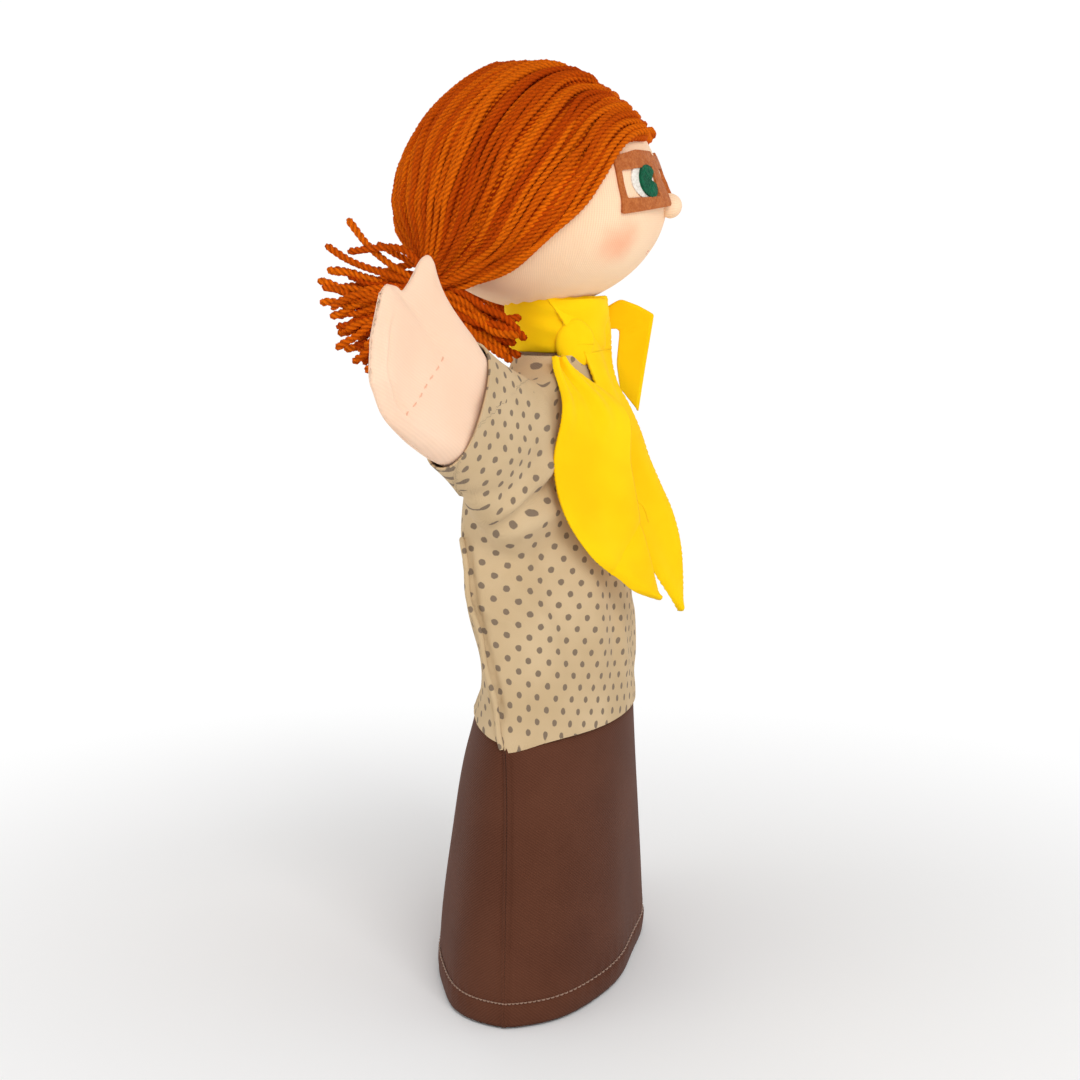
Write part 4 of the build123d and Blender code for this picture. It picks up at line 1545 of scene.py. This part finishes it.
FRONT_TURN = math.radians(10)
CAMERA_DOWN = math.radians(9)
CAMERA_AWAY = 0.65
LENS = 66.7


def floor():
    """A plain white floor that runs out into the white of the studio."""
    paint = bpy.data.materials.new("floor_paint")
    paint.use_nodes = True
    tree = paint.node_tree
    for node in list(tree.nodes):
        tree.nodes.remove(node)
    where = tree.nodes.new("ShaderNodeTexCoord")
    away = tree.nodes.new("ShaderNodeVectorMath")
    away.operation = "LENGTH"
    share = tree.nodes.new("ShaderNodeMapRange")
    share.interpolation_type = "SMOOTHSTEP"
    for socket, value in zip(range(1, 5), (0.08, 0.4, 0.0, 1.0)):
        share.inputs[socket].default_value = value
    dull = tree.nodes.new("ShaderNodeBsdfDiffuse")
    dull.inputs[0].default_value = (0.94, 0.94, 0.94, 1)
    glow = tree.nodes.new("ShaderNodeEmission")
    glow.inputs[0].default_value = (1, 1, 1, 1)
    glow.inputs[1].default_value = 1.02
    both = tree.nodes.new("ShaderNodeMixShader")
    end = tree.nodes.new("ShaderNodeOutputMaterial")
    tree.links.new(where.outputs["Object"], away.inputs[0])
    tree.links.new(away.outputs["Value"], share.inputs[0])
    tree.links.new(share.outputs[0], both.inputs[0])
    tree.links.new(dull.outputs[0], both.inputs[1])
    tree.links.new(glow.outputs[0], both.inputs[2])
    tree.links.new(both.outputs[0], end.inputs[0])
    sheet = bmesh.new()
    bmesh.ops.create_circle(sheet, cap_ends=True, segments=96, radius=3)
    mesh = bpy.data.meshes.new("floor")
    sheet.to_mesh(mesh)
    sheet.free()
    mesh.materials.append(paint)
    ground = bpy.data.objects.new("floor", mesh)
    ground.location = (0, 0, -0.0008)
    bpy.context.scene.collection.objects.link(ground)


def camera_and_light():
    look = Vector((math.cos(FRONT_TURN) * math.cos(CAMERA_DOWN),
                   math.sin(FRONT_TURN) * math.cos(CAMERA_DOWN), -math.sin(CAMERA_DOWN)))
    target = Vector((0.0002, -0.0013, 0.137))
    camera = bpy.data.objects.new("camera", bpy.data.cameras.new("camera"))
    camera.data.lens = LENS
    camera.data.sensor_width = 36
    camera.location = target - look * CAMERA_AWAY
    camera.rotation_euler = look.to_track_quat("-Z", "Y").to_euler()
    bpy.context.scene.collection.objects.link(camera)
    bpy.context.scene.camera = camera

    world = bpy.data.worlds.new("studio")
    world.use_nodes = True
    tree = world.node_tree
    # white all round at the height of the puppet, and dimmer above and below it
    spot = tree.nodes.new("ShaderNodeTexCoord")
    parts = tree.nodes.new("ShaderNodeSeparateXYZ")
    height = tree.nodes.new("ShaderNodeMath")
    height.operation = "ABSOLUTE"
    level = tree.nodes.new("ShaderNodeMapRange")
    level.interpolation_type = "SMOOTHSTEP"
    for socket, value in zip(range(1, 5), (0.46, 0.62, 1.02, 0.45)):
        level.inputs[socket].default_value = value
    tree.links.new(spot.outputs["Generated"], parts.inputs[0])
    tree.links.new(parts.outputs[2], height.inputs[0])
    tree.links.new(height.outputs[0], level.inputs[0])
    tree.links.new(level.outputs[0], tree.nodes["Background"].inputs[0])
    tree.nodes["Background"].inputs[1].default_value = 1.0
    bpy.context.scene.world = world
    for name, place, power, width in (
        ("key", (-0.9, -0.5, 0.85), 5.5, 0.5),
        ("fill", (-0.6, 0.9, 0.6), 1.2, 0.9),
        ("back", (0.9, 0.2, 0.8), 2.0, 0.8),
    ):
        lamp = bpy.data.lights.new(name, "AREA")
        lamp.energy = power
        lamp.size = width
        holder = bpy.data.objects.new(name, lamp)
        holder.location = place
        aim = Vector((0, 0, 0.15)) - holder.location
        holder.rotation_euler = aim.to_track_quat("-Z", "Y").to_euler()
        bpy.context.scene.collection.objects.link(holder)


floor()
camera_and_light()
bpy.context.scene.view_settings.view_transform = "Standard"
